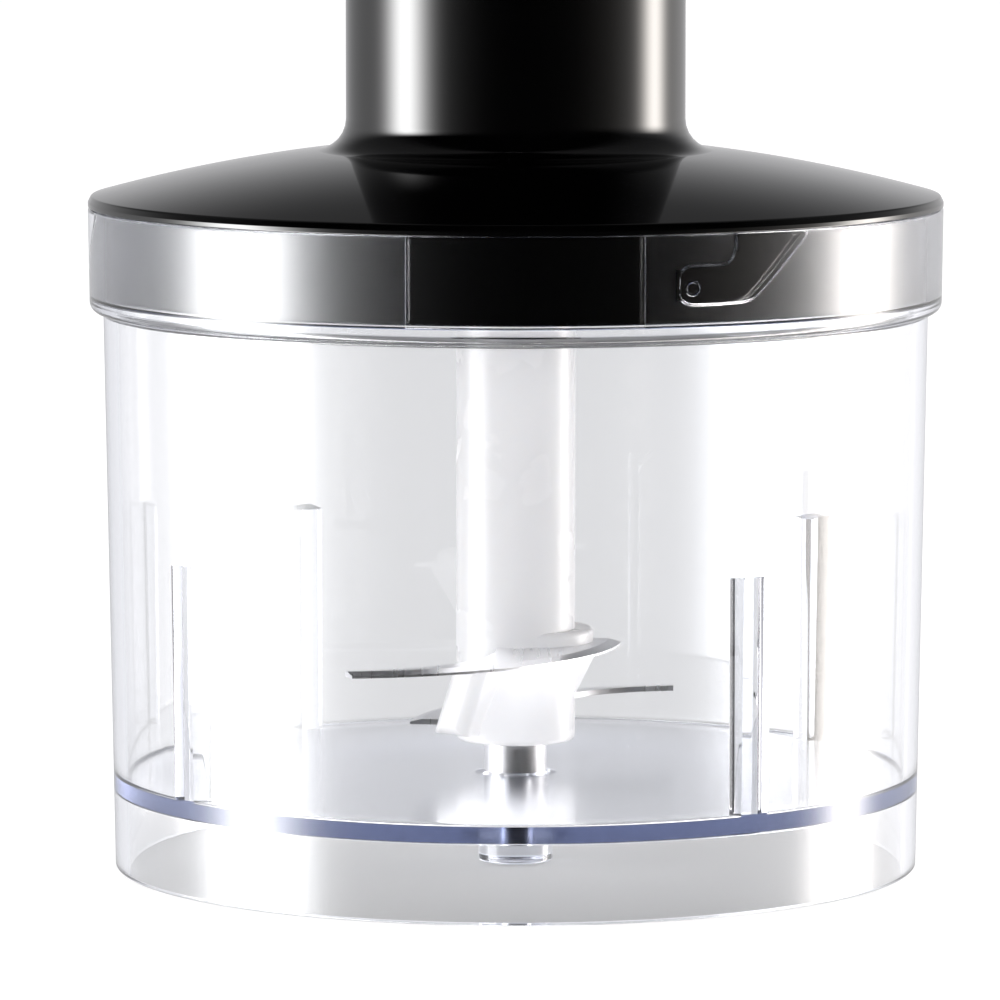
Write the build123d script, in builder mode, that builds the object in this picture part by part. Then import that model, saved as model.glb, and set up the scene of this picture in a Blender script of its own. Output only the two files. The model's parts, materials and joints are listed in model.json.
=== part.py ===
from build123d import *
from math import asin, cos, degrees, pi, radians, sin, sqrt, tan
import os

# An immersion blender that stands on its chopper attachment: clear bowl, gear lid, blades and motor unit.
# Millimetres, +Z up. The origin is at the middle of the bowl's foot; the front, with the buttons, faces -Y.

# Fits
RUNNING = 0.05         # radial clearance of a shaft that turns in a bush
SLIDING = 0.2          # clearance of pieces that slip together by hand
FACE_GAP = 0.1         # gap between flat faces that meet across a seam
TURN_GAP = 0.5         # gap beside a wheel that turns
FUSE = 0.6             # how deep an added rib or boss is rooted in its wall

# Bowl
COLLAR_R = 63.0        # outer radius of the collar at the brim
BOWL_H = 97.7          # table to brim
COLLAR_H = 15.3
COLLAR_DRAFT = 0.2     # the collar narrows by this towards its foot
COLLAR_STEP = 2.0      # how far the collar stands out from the wall
COLLAR_WALL = 1.8
WALL_DRAFT = 1.4       # the wall narrows by this from the collar to the table
BOWL_WALL = 2.0
LEDGE_T = 2.3          # inner ledge above the collar's foot
FOOT_H = 11.6          # hollow under the floor
FLOOR_T = 2.3
CORNER_R = 1.5
FLOOR_ROUND = 0.6      # round between floor and wall
RIB_COUNT = 4
RIB_ANGLE = -54.5      # polar angle of the first inner rib
RIB_H = 34.4
RIB_W = 4.0
RIB_DEPTH = 3.7
RIB_EDGE_R = 0.9
BOSS_R = 5.5           # socket of the blade pin, under the floor
BOSS_DROP = 11.3
PIN_R = 4.6
PIN_ROOT_R = 1.9       # thin root of the pin, in its socket
PIN_SEAT = 6.0         # depth of the root in its socket, below the floor's underside
PIN_CHAMFER = 1.2

# Bayonet between bowl and lid
BAYONET_COUNT = 3
BAYONET_ANGLE = -58.0  # polar angle of the first track's middle
PAD_T = 0.8            # raised pad that the track is cut in
PAD_BEFORE = 15.0      # degrees of the pad on both sides of the track's middle
PAD_AFTER = 73.4
TRACK_RISE = 5.6       # track's floor above the collar's foot
TRACK_H = 5.0
POCKET_END = -11.3     # along the collar from the track's middle
ENTRY_WALL = -2.3
RAMP_START = 0.8
RAMP_END = 11.2
LID_LUG_W = 4.0
LID_LUG_H = 4.2
LID_LUG_EDGE_R = 1.8
LUG_PLAY = 0.3

# Lid
RIM_H = 1.6
RIM_ROUND = 0.9
DOME_RISE = 7.1        # rim to the foot of the neck
DOME_CROWN = 0.8       # how far the dome bulges over a straight cone
NECK_R = 25.0
NECK_H = 38.2          # rim to the top of the neck
NECK_FILLET = 4.7
NECK_WALL = 2.5
LID_WALL = 2.4
LID_SKIRT_T = 2.3
SKIRT_GAP = 1.3        # between the lid's skirt and the collar
SKIRT_LIFT = 0.3       # skirt's lower edge above the bowl's ledge
PLATE_RECESS = 1.2     # lid plate above the skirt's lower edge
PLATE_T = 2.2
PLATE_SHOULDER = 2.6   # width of the step that the plate rests on
SEAL_W = 1.3
SEAL_T = 1.0
SCREW_COUNT = 4
SCREW_CIRCLE = 46.0
SCREW_ANGLE = 45.0     # polar angle of the first screw
SCREW_R = 1.5
SCREW_HEAD_R = 2.8
SCREW_HEAD_T = 1.4
SCREW_L = 9.0
SCREW_BOSS_R = 3.6
WEB_T = 3.2            # floor of the neck, above the gears

# Planetary gears
MODULE = 1.0
SUN_TEETH = 12
PLANET_TEETH = 18
PLANET_COUNT = 3
PRESSURE_ANGLE = 25.0
ADDENDUM = 0.9         # in modules
DEDENDUM = 1.15        # in modules
BACKLASH = 0.12        # taken from each tooth's thickness
FLANK_POINTS = 4
GEAR_W = 8.0
GEAR_WALL = 2.6        # ring gear outside its teeth
GEAR_POCKET_WALL = 2.2
CARRIER_T = 2.6
CARRIER_EDGE = 4.0     # carrier's rim outside the planet pins' circle
PLANET_PIN_R = 2.0
SUN_SHAFT_R = 3.5
SUN_PILOT_R = 2.5
SUN_PILOT_L = 2.0
INPUT_BUSH_T = 2.4
BUSH_FLANGE = 2.0
BUSH_FLANGE_T = 0.8
OUTPUT_R = 5.5         # carrier's journal in the lid plate
OUTPUT_BUSH_T = 2.0
PLATE_BOSS_DROP = 2.6
SEAL_LIP_T = 1.4
OUTPUT_HEX = 4.5       # half the width across flats of the drive to the hub
OUTPUT_HEX_L = 10.0

# Blade hub and blades
HUB_R = 8.8
HUB_LIFT = 4.6         # floor to the hub's foot
HUB_EDGE_R = 0.8
HUB_HEADROOM = 0.6     # hub's top to the lid plate's boss
HUB_SOCKET_FLOOR = 4.0 # solid part between pin and drive socket
BLADE_T = 0.8
BLADE_REACH = 43.2     # tip to the hub's axis
UPPER_BLADE_LIFT = 18.4  # floor to the blade's underside
LOWER_BLADE_LIFT = 7.2
BLADE_ANGLE = -122.7   # polar angle of the upper blade's tip
BLADE_HEEL_BACK = 11.0  # heel of the cutting edge: behind the axis, and out to its side
BLADE_HEEL_OUT = 11.6
BLADE_CROWN_ALONG = 10.0  # widest place of the cutting edge
BLADE_CROWN_OUT = 16.3
BLADE_HOLLOW_ALONG = 26.0  # middle of the hollow back edge
BLADE_HOLLOW_OUT = 6.4
BLADE_TIP_BACK = 1.5   # short edge across the tip
BLADE_TIP_W = 2.2
BLADE_ROOT_L = 6.0     # half the straight edge beside the hub
BLADE_HOLE_R = 6.2
BLADE_ROOT_R = 8.2
BEVEL_W = 1.8
BEVEL_T = 0.45
WING_R = 12.7          # reach of the slanted web over the lower blade's heel
WING_W = 6.5
WING_SLANT = 4.5
WING_ANGLE = -135.0
WING_MARGIN = 1.2
WING_HEADROOM = 1.5    # web's top to the upper blade
WING_ROUND = 2.0
GUSSET_R = 12.4        # reach of the gusset under the upper blade's heel
GUSSET_W = 4.0
GUSSET_H = 8.0
GUSSET_ANGLE = 15.0
HEEL_COLLAR_R = 9.0    # short collar over the upper blade, set off towards its heel
HEEL_COLLAR_OFF = 2.6
HEEL_COLLAR_H = 2.1
HEEL_COLLAR_ROUND = 0.8

# Drive coupling between motor unit and lid
SOCKET_R = 8.0
SOCKET_L = 12.5
SOCKET_FLOOR = 4.0
DOG_HEX = 4.4          # half the width across flats
DOG_L = 9.0
DOG_FLANGE_T = 2.4

# Motor unit
SPIGOT_L = 18.0        # part of the coupler that stands in the neck
SPIGOT_WALL = 3.6
SPIGOT_END_T = 2.4
SPIGOT_HOLE_R = 11.0
SEAM_GAP = 0.3
CATCH_COUNT = 2
CATCH_ANGLE = 0.0
CATCH_SPAN = 18.0      # degrees
CATCH_PROUD = 1.3
CATCH_H = 4.0
CATCH_LIFT = 2.0
MOTOR_TWIST = 24.0     # degrees
TWIST_PLAY = 1.2       # degrees
GROOVE_DEPTH = 1.8
GROOVE_H = 3.0
FLANGE_H = 5.0
HANDLE_L = 180.0
GRIP_FLARE = 3.5       # handle's radius at its top, over the neck's
HANDLE_WALL = 2.8
MOTOR_RIB = 3.0        # rib between handle wall and motor
MOTOR_RIB_T = 2.5
FAN_H = 6.5
FAN_DISC_T = 1.5
FAN_VANES = 9
FAN_VANE_T = 1.2
FAN_HUB_R = 5.0
FAN_GAP = 1.5
END_BELL_T = 3.6
CAN_L = 54.0
CAN_WALL = 1.4
MAGNET_T = 2.4
MAGNET_SPAN = 126.0    # degrees
MAGNET_INSET = 8.0
AIR_GAP = 0.5
SHAFT_R = 2.5
SHAFT_TAIL = 4.0
BEARING_R = 5.0
CORE_INSET = 10.0
CORE_L = 28.0
CORE_SLOTS = 7
CORE_SLOT_W = 2.6
CORE_SLOT_FLOOR_R = 6.5
WINDING_R = 12.0
WINDING_L = 4.5
COMMUTATOR_GAP = 3.0   # between winding and commutator
COMMUTATOR_R = 5.8
COMMUTATOR_L = 8.0
BRUSH_W = 5.0
BRUSH_H = 6.0
BRUSH_L = 7.5
HOLDER_WALL = 1.6
HOLDER_INSET = 0.4     # holder behind the brush's tip

# Controls
BUTTON_R = 7.5
TURBO_LIFT = 17.3      # turbo button's middle above the control board's lower end
BUTTON_PITCH = 22.0    # power button above the turbo button
BUTTON_PROUD = 2.6
BUTTON_TRAVEL = 2.0
BUTTON_EDGE_R = 1.0
BUTTON_FLANGE = 1.6
BUTTON_FLANGE_T = 1.6
BUTTON_GAP = 0.3
STEM_R = 2.2
PANEL_TOP_GAP = 14.0   # grip panel below the top of the handle shells
PANEL_BELOW = 46.0     # grip panel's reach below the turbo button's middle
PANEL_W = 30.0
PANEL_SINK = 1.4
PANEL_PROUD = 0.5
BOARD_Y = -9.0         # front face of the control board
BOARD_T = 1.6
BOARD_HEADROOM = 17.3  # board below the top of the handle shells
BOARD_LIFT = 4.0       # above the end of the motor shaft
BOARD_EDGE = 0.8       # board outside its rails
RAIL_W = 2.4
RAIL_INSET = 4.0
BOARD_SCREW_R = 0.9
BOARD_SCREW_HEAD_R = 1.8
BOARD_SCREW_HEAD_T = 1.2
BOARD_SCREW_L = 5.0
SWITCH_W = 8.0
SWITCH_H = 12.0
SWITCH_T = 8.0
POST_WALL = 1.3        # post outside its screw head
POST_GAP = 0.8         # between board and screw posts
LOWER_SCREW_LIFT = 9.3  # lower housing screws above the control board's lower end
UPPER_SCREW_DROP = 20.0  # upper housing screws below the top of the handle shells
HOUSING_SCREW_L = 14.0
VENT_COUNT = 4
VENT_W = 16.0
VENT_H = 2.0
VENT_PITCH = 4.4
VENT_RISE = 5.0
CAP_H = 17.0
CAP_TOP_R = 18.5
CAP_WALL = 2.6
CAP_PLUG_L = 6.0
DIAL_R = 14.0
DIAL_H = 9.0
DIAL_SINK = 1.4
DIAL_FLUTES = 20
FLUTE_R = 1.3
DIAL_EDGE_R = 1.6
DIAL_STEM_R = 3.0
CONTROL_W = 16.0
CONTROL_T = 6.5
GLAND_DROP = 20.0      # below the top of the handle shells
GLAND_R = 5.5
GLAND_BORE_R = 3.5
GLAND_FLANGE = 2.0
GLAND_FLANGE_T = 2.2
GLAND_PROUD = 4.0

# Heights and radii that follow from the sizes above
collar_foot = BOWL_H - COLLAR_H
ledge_z = collar_foot + LEDGE_T
floor_z = FOOT_H + FLOOR_T
collar_in_r = COLLAR_R - COLLAR_WALL
wall_top_r = COLLAR_R - COLLAR_DRAFT - COLLAR_STEP
pad_r = collar_in_r - PAD_T
boss_low = FOOT_H - BOSS_DROP
pin_low = FOOT_H - PIN_SEAT
track_low = collar_foot + TRACK_RISE

rim_z = BOWL_H + FACE_GAP
rim_top = rim_z + RIM_H
dome_top = rim_top + DOME_RISE
neck_top = rim_z + NECK_H
neck_in_r = NECK_R - NECK_WALL
skirt_r = collar_in_r - SKIRT_GAP
skirt_in_r = skirt_r - LID_SKIRT_T
skirt_low = ledge_z + SKIRT_LIFT
plate_low = skirt_low + PLATE_RECESS
plate_top = plate_low + PLATE_T
plate_r = skirt_in_r - SLIDING
carrier_low = plate_top + TURN_GAP
gear_low = carrier_low + CARRIER_T + TURN_GAP
gear_top = gear_low + GEAR_W
web_low = gear_top + 2 * TURN_GAP
web_top = web_low + WEB_T

RING_TEETH = SUN_TEETH + 2 * PLANET_TEETH
planet_circle = MODULE * (SUN_TEETH + PLANET_TEETH) / 2
ring_r = MODULE * (RING_TEETH / 2 + DEDENDUM) + GEAR_WALL
gear_pocket_r = ring_r + FACE_GAP
carrier_r = planet_circle + CARRIER_EDGE
input_bush_r = SUN_SHAFT_R + RUNNING + INPUT_BUSH_T
output_bush_r = OUTPUT_R + RUNNING + OUTPUT_BUSH_T
boss_plate_low = plate_low - PLATE_BOSS_DROP
plate_boss_r = output_bush_r + BUSH_FLANGE

hub_low = floor_z + HUB_LIFT
hub_top = boss_plate_low - HUB_HEADROOM
hub_socket_low = hub_top - OUTPUT_HEX_L
pin_top = hub_socket_low - HUB_SOCKET_FLOOR

socket_low = web_top + BUSH_FLANGE_T + TURN_GAP
socket_top = socket_low + SOCKET_L
dog_low = socket_low + SOCKET_FLOOR + TURN_GAP
dog_top = dog_low + DOG_L
seam_z = neck_top + SEAM_GAP
spigot_low = seam_z - SPIGOT_L
spigot_r = neck_in_r - SLIDING
spigot_in_r = spigot_r - SPIGOT_WALL
groove_r = spigot_r - GROOVE_DEPTH
catch_low = spigot_low + CATCH_LIFT
catch_r = spigot_r + CATCH_PROUD
flange_low = seam_z + GROOVE_H
flange_top = flange_low + FLANGE_H
shell_top = seam_z + HANDLE_L
grip_r = NECK_R + GRIP_FLARE
through = 2 * grip_r    # length of a cut that runs out past the handle

motor_r = NECK_R - HANDLE_WALL - MOTOR_RIB
fan_low = flange_top + FAN_GAP
bell_low = fan_low + FAN_H + FAN_GAP
can_low = bell_low + END_BELL_T
can_top = can_low + CAN_L
bell_top = can_top + END_BELL_T
shaft_top = bell_top + SHAFT_TAIL
can_in_r = motor_r - CAN_WALL
magnet_in_r = can_in_r - MAGNET_T
core_r = magnet_in_r - AIR_GAP
core_low = can_low + CORE_INSET
core_top = core_low + CORE_L
commutator_low = core_top + WINDING_L + COMMUTATOR_GAP
brush_low = commutator_low + (COMMUTATOR_L - BRUSH_H) / 2
brush_in_r = COMMUTATOR_R + FACE_GAP
rib_heights = (can_low + MOTOR_RIB_T, can_top - 2 * MOTOR_RIB_T)

board_low = shaft_top + BOARD_LIFT
board_top = shell_top - BOARD_HEADROOM
switch_face = BOARD_Y - SWITCH_T
turbo_z = board_low + TURBO_LIFT
button_heights = {"power": turbo_z + BUTTON_PITCH, "turbo": turbo_z}
panel_low = turbo_z - PANEL_BELOW
panel_high = shell_top - PANEL_TOP_GAP
cap_low = shell_top + FACE_GAP
cap_top = cap_low + CAP_H
dial_low = cap_top - DIAL_SINK + SLIDING
gland_z = shell_top - GLAND_DROP
housing_screw_heights = (board_low + LOWER_SCREW_LIFT, shell_top - UPPER_SCREW_DROP)
button_flange_r = BUTTON_R + BUTTON_FLANGE
rail_x = button_flange_r + BUTTON_GAP + RAIL_W / 2
rail_low = board_low + RAIL_INSET
rail_high = board_top - RAIL_INSET
board_w = 2 * rail_x + RAIL_W + 2 * BOARD_EDGE
post_r = SCREW_HEAD_R + SLIDING + POST_WALL
post_x = board_w / 2 + POST_GAP + post_r


def lathe(points, rounds=(), mode=Mode.ADD):
    """Turn a closed profile of (radius, height) points about the main axis, with chosen corners rounded."""
    with BuildSketch(Plane.XZ) as profile:
        with BuildLine():
            Polyline(*points, close=True)
        make_face()
        for corner, radius in rounds:
            fillet(profile.vertices().sort_by_distance(corner)[0], radius)
    revolve(profile.sketch, axis=Axis.Z, mode=mode)


def tube(outer, inner, low, high, mode=Mode.ADD):
    """Add or cut an upright tube."""
    lathe([(inner, low), (outer, low), (outer, high), (inner, high)], mode=mode)


def disc(radius, low, high, mode=Mode.ADD):
    """Add or cut an upright cylinder on the main axis."""
    with BuildSketch(Plane.XY.offset(low)) as outline:
        Circle(radius)
    extrude(outline.sketch, amount=high - low, mode=mode)


def ring_segment(inner, outer, middle, span, low, high, mode=Mode.ADD):
    """Add or cut a part of a ring, given by its middle angle and span in degrees."""
    start = middle - span / 2
    with BuildSketch(Plane.XY.offset(low)) as outline:
        with BuildLine():
            far = CenterArc((0, 0), outer, start, span)
            near = CenterArc((0, 0), inner, start, span)
            Line(far @ 0, near @ 0)
            Line(far @ 1, near @ 1)
        make_face()
    extrude(outline.sketch, amount=high - low, mode=mode)


def hexagon(half_flats, low, high, mode=Mode.ADD):
    """Add or cut an upright hexagonal bar on the main axis."""
    with BuildSketch(Plane.XY.offset(low)) as outline:
        RegularPolygon(half_flats, 6, major_radius=False)
    extrude(outline.sketch, amount=high - low, mode=mode)


def facing(angle):
    """A plane through the main axis whose normal points outwards at a polar angle, with Z upwards on it."""
    turn = radians(angle)
    return Plane((0, 0, 0), x_dir=(-sin(turn), cos(turn), 0), z_dir=(cos(turn), sin(turn), 0))


def wall_r(z):
    """Outer radius of the bowl's wall at a height."""
    return wall_top_r - WALL_DRAFT * (1 - z / collar_foot)


def handle_r(z):
    """Outer radius of the handle at a height: it widens evenly from the neck to the grip."""
    return NECK_R + GRIP_FLARE * (z - seam_z) / HANDLE_L


def gear_outline(teeth, tip, root, thinning):
    """Corner points of a spur gear: involute flanks from the base circle, or the root circle, to the tip."""
    pitch_r = MODULE * teeth / 2
    base_r = pitch_r * cos(radians(PRESSURE_ANGLE))
    involute_at_pitch = tan(radians(PRESSURE_ANGLE)) - radians(PRESSURE_ANGLE)
    half_tooth = pi / (2 * teeth) - thinning / (2 * pitch_r)
    start_r = max(base_r, root)
    flank = []
    for step in range(FLANK_POINTS):
        radius = start_r + (tip - start_r) * step / (FLANK_POINTS - 1)
        roll = sqrt((radius / base_r) ** 2 - 1)
        involute = roll - asin(roll / sqrt(1 + roll ** 2))
        flank.append((radius, half_tooth + involute_at_pitch - involute))
    if root < start_r:
        flank.insert(0, (root, flank[0][1]))
    points = []
    for tooth in range(teeth):
        middle = 2 * pi * tooth / teeth
        points += [(r * cos(middle - a), r * sin(middle - a)) for r, a in flank]
        points += [(r * cos(middle + a), r * sin(middle + a)) for r, a in reversed(flank)]
    return points


def gear_block(teeth, tip, root, low, high, plane=Plane.XY, turn=0.0, thinning=BACKLASH, mode=Mode.ADD):
    """Add or cut a spur gear between two heights, on a plane whose Z is the gear's axis."""
    with BuildSketch(plane.offset(low)) as outline:
        with Locations(Location((0, 0), turn)):
            Polygon(*gear_outline(teeth, tip, root, thinning), align=None)
    extrude(outline.sketch, amount=high - low, mode=mode)


def gear_radii(teeth):
    """Tip and root radius of an outer gear."""
    pitch_r = MODULE * teeth / 2
    return pitch_r + ADDENDUM * MODULE, pitch_r - DEDENDUM * MODULE


def turned_screw(x, y, z, shank_r, head_r, head_t, length, plane):
    """A pan-head screw whose head starts at a point of a plane and whose shank runs against its normal."""
    at = Plane(plane.from_local_coords((x, y, z)), x_dir=plane.x_dir, z_dir=plane.z_dir)
    with BuildSketch(at) as head:
        Circle(head_r)
    extrude(head.sketch, amount=head_t)
    with BuildSketch(at) as shank:
        Circle(shank_r)
    extrude(shank.sketch, amount=-length)


# Bowl: one clear moulding, with collar, ledge, floor, hollow foot and the pin's socket
with BuildPart() as bayonet_pad:
    pad_middle = BAYONET_ANGLE + (PAD_AFTER - PAD_BEFORE) / 2
    ring_segment(pad_r, collar_in_r + FUSE, pad_middle, PAD_BEFORE + PAD_AFTER, ledge_z - FUSE, BOWL_H)
    with BuildSketch(facing(BAYONET_ANGLE)) as track:
        with BuildLine():
            Polyline(
                (POCKET_END, track_low),
                (RAMP_START, track_low),
                (RAMP_END, BOWL_H),
                (RAMP_END, BOWL_H + TRACK_H),
                (ENTRY_WALL, BOWL_H + TRACK_H),
                (ENTRY_WALL, track_low + TRACK_H),
                (POCKET_END, track_low + TRACK_H),
                close=True,
            )
        make_face()
    extrude(track.sketch, amount=COLLAR_R, mode=Mode.SUBTRACT)

with BuildPart() as chop_bowl:
    collar_foot_r = COLLAR_R - COLLAR_DRAFT
    floor_r = wall_r(floor_z) - BOWL_WALL
    lathe(
        [
            (wall_r(0), 0),
            (wall_top_r, collar_foot),
            (collar_foot_r, collar_foot),
            (COLLAR_R, BOWL_H),
            (collar_in_r, BOWL_H),
            (collar_in_r, ledge_z),
            (wall_top_r - BOWL_WALL, ledge_z),
            (floor_r, floor_z),
            (0, floor_z),
            (0, FOOT_H),
            (wall_r(FOOT_H) - BOWL_WALL, FOOT_H),
            (wall_r(0) - BOWL_WALL, 0),
        ],
        rounds=[((collar_foot_r, collar_foot), CORNER_R), ((floor_r, floor_z), FLOOR_ROUND)],
    )
    disc(BOSS_R, boss_low, FOOT_H + FUSE)
    disc(PIN_ROOT_R, pin_low, floor_z + FUSE, mode=Mode.SUBTRACT)
    rib_root = wall_r(floor_z + RIB_H) - BOWL_WALL + FUSE
    rib_reach = rib_root - floor_r + RIB_DEPTH
    with BuildSketch(Plane.XY.offset(floor_z - FUSE)) as ribs:
        with PolarLocations(rib_root - rib_reach / 2, RIB_COUNT, start_angle=RIB_ANGLE):
            RectangleRounded(rib_reach, RIB_W, RIB_EDGE_R)
    extrude(ribs.sketch, amount=RIB_H + FUSE)
    for turn in range(BAYONET_COUNT):
        add(bayonet_pad.part, rotation=(0, 0, turn * 360 / BAYONET_COUNT))

with BuildPart() as blade_pin:
    disc(PIN_R, floor_z, pin_top)
    chamfer(blade_pin.edges().sort_by(Axis.Z)[-1], PIN_CHAMFER)
    disc(PIN_ROOT_R, pin_low, floor_z + FUSE)

# Lid shell: dome, neck, skirt with bayonet lugs, gear pocket and screw bosses in one moulding
with BuildPart() as lid_shell:
    dome_edge = COLLAR_R - RIM_ROUND / 2
    with BuildSketch(Plane.XZ) as solid_lid:
        with BuildLine():
            Polyline((0, neck_top), (NECK_R, neck_top), (NECK_R, dome_top))
            dome_middle = ((NECK_R + dome_edge) / 2, (dome_top + rim_top) / 2 + DOME_CROWN)
            ThreePointArc((NECK_R, dome_top), dome_middle, (dome_edge, rim_top))
            Polyline(
                (dome_edge, rim_top),
                (COLLAR_R, rim_top - RIM_ROUND),
                (COLLAR_R, rim_z),
                (skirt_r, rim_z),
                (skirt_r, skirt_low),
                (0, skirt_low),
                (0, neck_top),
            )
        make_face()
        fillet(solid_lid.vertices().sort_by_distance((NECK_R, dome_top))[0], NECK_FILLET)
        fillet(solid_lid.vertices().sort_by_distance((dome_edge, rim_top))[0], RIM_ROUND / 2)
    revolve(solid_lid.sketch, axis=Axis.Z)
    disc(skirt_in_r, skirt_low, plate_top, mode=Mode.SUBTRACT)
    cavity_r = skirt_in_r - PLATE_SHOULDER
    pocket_wall_r = gear_pocket_r + GEAR_POCKET_WALL
    dome_slope = DOME_RISE / (dome_edge - NECK_R)
    dome_in = rim_top - LID_WALL
    lathe(
        [
            (pocket_wall_r, plate_top),
            (cavity_r, plate_top),
            (cavity_r, dome_in + dome_slope * (dome_edge - cavity_r)),
            (pocket_wall_r, dome_in + dome_slope * (dome_edge - pocket_wall_r)),
        ],
        mode=Mode.SUBTRACT,
    )
    disc(gear_pocket_r, plate_top, web_low, mode=Mode.SUBTRACT)
    disc(input_bush_r, web_low, web_top, mode=Mode.SUBTRACT)
    disc(neck_in_r, web_top, neck_top, mode=Mode.SUBTRACT)
    # Columns for the plate's screws, from the plate up into the dome
    with BuildSketch(Plane.XY.offset(plate_top)) as columns:
        with PolarLocations(SCREW_CIRCLE, SCREW_COUNT, start_angle=SCREW_ANGLE):
            Circle(SCREW_BOSS_R)
    column_top = dome_in + dome_slope * (dome_edge - SCREW_CIRCLE)
    extrude(columns.sketch, amount=column_top + FUSE - plate_top)
    with BuildSketch(Plane.XY.offset(plate_top)) as pilot_holes:
        with PolarLocations(SCREW_CIRCLE, SCREW_COUNT, start_angle=SCREW_ANGLE):
            Circle(SCREW_R)
    extrude(pilot_holes.sketch, amount=SCREW_L - PLATE_T + FUSE, mode=Mode.SUBTRACT)
    # Lugs that ride in the bowl's bayonet tracks
    lug_middle = POCKET_END + LUG_PLAY + LID_LUG_W / 2
    lug_z = track_low + TRACK_H / 2
    for turn in range(BAYONET_COUNT):
        lug_angle = BAYONET_ANGLE + degrees(asin(lug_middle / skirt_r)) + turn * 360 / BAYONET_COUNT
        with BuildSketch(facing(lug_angle).offset(skirt_r - FUSE)) as lug:
            with Locations((0, lug_z)):
                RectangleRounded(LID_LUG_W, LID_LUG_H, LID_LUG_EDGE_R)
        extrude(lug.sketch, amount=collar_in_r - SLIDING - skirt_r + FUSE)
    # Twist-lock slots for the motor unit: a level run, then a way up and out of the neck
    slot_span = CATCH_SPAN + 2 * TWIST_PLAY
    slot_r = catch_r + SLIDING
    for turn in range(CATCH_COUNT):
        locked = CATCH_ANGLE + turn * 360 / CATCH_COUNT
        ring_segment(
            neck_in_r - FUSE,
            slot_r,
            locked + MOTOR_TWIST / 2,
            slot_span + MOTOR_TWIST,
            catch_low - SLIDING,
            catch_low + CATCH_H + SLIDING,
            mode=Mode.SUBTRACT,
        )
        ring_segment(
            neck_in_r - FUSE,
            slot_r,
            locked + MOTOR_TWIST,
            slot_span,
            catch_low,
            neck_top,
            mode=Mode.SUBTRACT,
        )

with BuildPart() as lid_plate:
    disc(plate_r, plate_low, plate_top)
    disc(plate_boss_r, boss_plate_low, plate_low)
    seal_outer = plate_r - SEAL_W / 2
    tube(seal_outer, seal_outer - SEAL_W, plate_top - SEAL_T, plate_top, mode=Mode.SUBTRACT)
    disc(output_bush_r, boss_plate_low, plate_top, mode=Mode.SUBTRACT)
    with PolarLocations(SCREW_CIRCLE, SCREW_COUNT, start_angle=SCREW_ANGLE):
        with Locations((0, 0, plate_low)):
            Cylinder(SCREW_R, PLATE_T, align=(Align.CENTER, Align.CENTER, Align.MIN), mode=Mode.SUBTRACT)
            Cylinder(
                SCREW_HEAD_R + SLIDING,
                SCREW_HEAD_T,
                align=(Align.CENTER, Align.CENTER, Align.MIN),
                mode=Mode.SUBTRACT,
            )

with BuildPart() as plate_seal:
    tube(seal_outer, seal_outer - SEAL_W, plate_top - SEAL_T, plate_top)

with BuildPart() as plate_screws:
    for turn in range(SCREW_COUNT):
        angle = radians(SCREW_ANGLE + turn * 360 / SCREW_COUNT)
        below = Plane((0, 0, plate_low + SCREW_HEAD_T), x_dir=(1, 0, 0), z_dir=(0, 0, -1))
        spot = (SCREW_CIRCLE * cos(angle), -SCREW_CIRCLE * sin(angle), 0)
        turned_screw(*spot, SCREW_R, SCREW_HEAD_R, SCREW_HEAD_T, SCREW_L - SCREW_HEAD_T, below)

# Gears: a ring gear fixed in the lid, three planets on the carrier and the sun pinion that the motor turns
with BuildPart() as ring_gear:
    disc(ring_r, plate_top, web_low)
    ring_pitch_r = MODULE * RING_TEETH / 2
    gear_block(
        RING_TEETH,
        ring_pitch_r + DEDENDUM * MODULE,
        ring_pitch_r - ADDENDUM * MODULE,
        plate_top,
        web_low,
        turn=180 / RING_TEETH,
        thinning=-BACKLASH,
        mode=Mode.SUBTRACT,
    )

with BuildPart() as planet_carrier:
    disc(carrier_r, carrier_low, carrier_low + CARRIER_T)
    disc(OUTPUT_R, boss_plate_low, carrier_low)
    hexagon(OUTPUT_HEX, hub_socket_low + TURN_GAP, boss_plate_low)
    disc(SUN_PILOT_R + RUNNING, carrier_low + CARRIER_T - SUN_PILOT_L, gear_low, mode=Mode.SUBTRACT)
    with BuildSketch(Plane.XY.offset(carrier_low)) as pin_holes:
        with PolarLocations(planet_circle, PLANET_COUNT):
            Circle(PLANET_PIN_R)
    extrude(pin_holes.sketch, amount=CARRIER_T, mode=Mode.SUBTRACT)

with BuildPart() as planet_pins:
    with BuildSketch(Plane.XY.offset(carrier_low)) as pin_circles:
        with PolarLocations(planet_circle, PLANET_COUNT):
            Circle(PLANET_PIN_R)
    extrude(pin_circles.sketch, amount=gear_top - carrier_low)

planet_gears = []
planet_tip, planet_root = gear_radii(PLANET_TEETH)
for number in range(PLANET_COUNT):
    around = number * 360 / PLANET_COUNT
    spot = Plane.XY.rotated((0, 0, around))
    axle = Plane(spot.from_local_coords((planet_circle, 0, 0)), x_dir=spot.x_dir, z_dir=(0, 0, 1))
    with BuildPart() as planet_gear:
        gear_block(PLANET_TEETH, planet_tip, planet_root, gear_low, gear_top, axle, turn=180 / PLANET_TEETH)
        with BuildSketch(axle.offset(gear_low)) as axle_hole:
            Circle(PLANET_PIN_R + RUNNING)
        extrude(axle_hole.sketch, amount=GEAR_W, mode=Mode.SUBTRACT)
    planet_gears.append(planet_gear)

with BuildPart() as sun_pinion:
    sun_tip, sun_root = gear_radii(SUN_TEETH)
    gear_block(SUN_TEETH, sun_tip, sun_root, gear_low, gear_top)
    disc(SUN_PILOT_R, carrier_low + CARRIER_T - SUN_PILOT_L + FACE_GAP, gear_low)
    disc(SUN_SHAFT_R, gear_top, socket_low + SOCKET_FLOOR)

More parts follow.
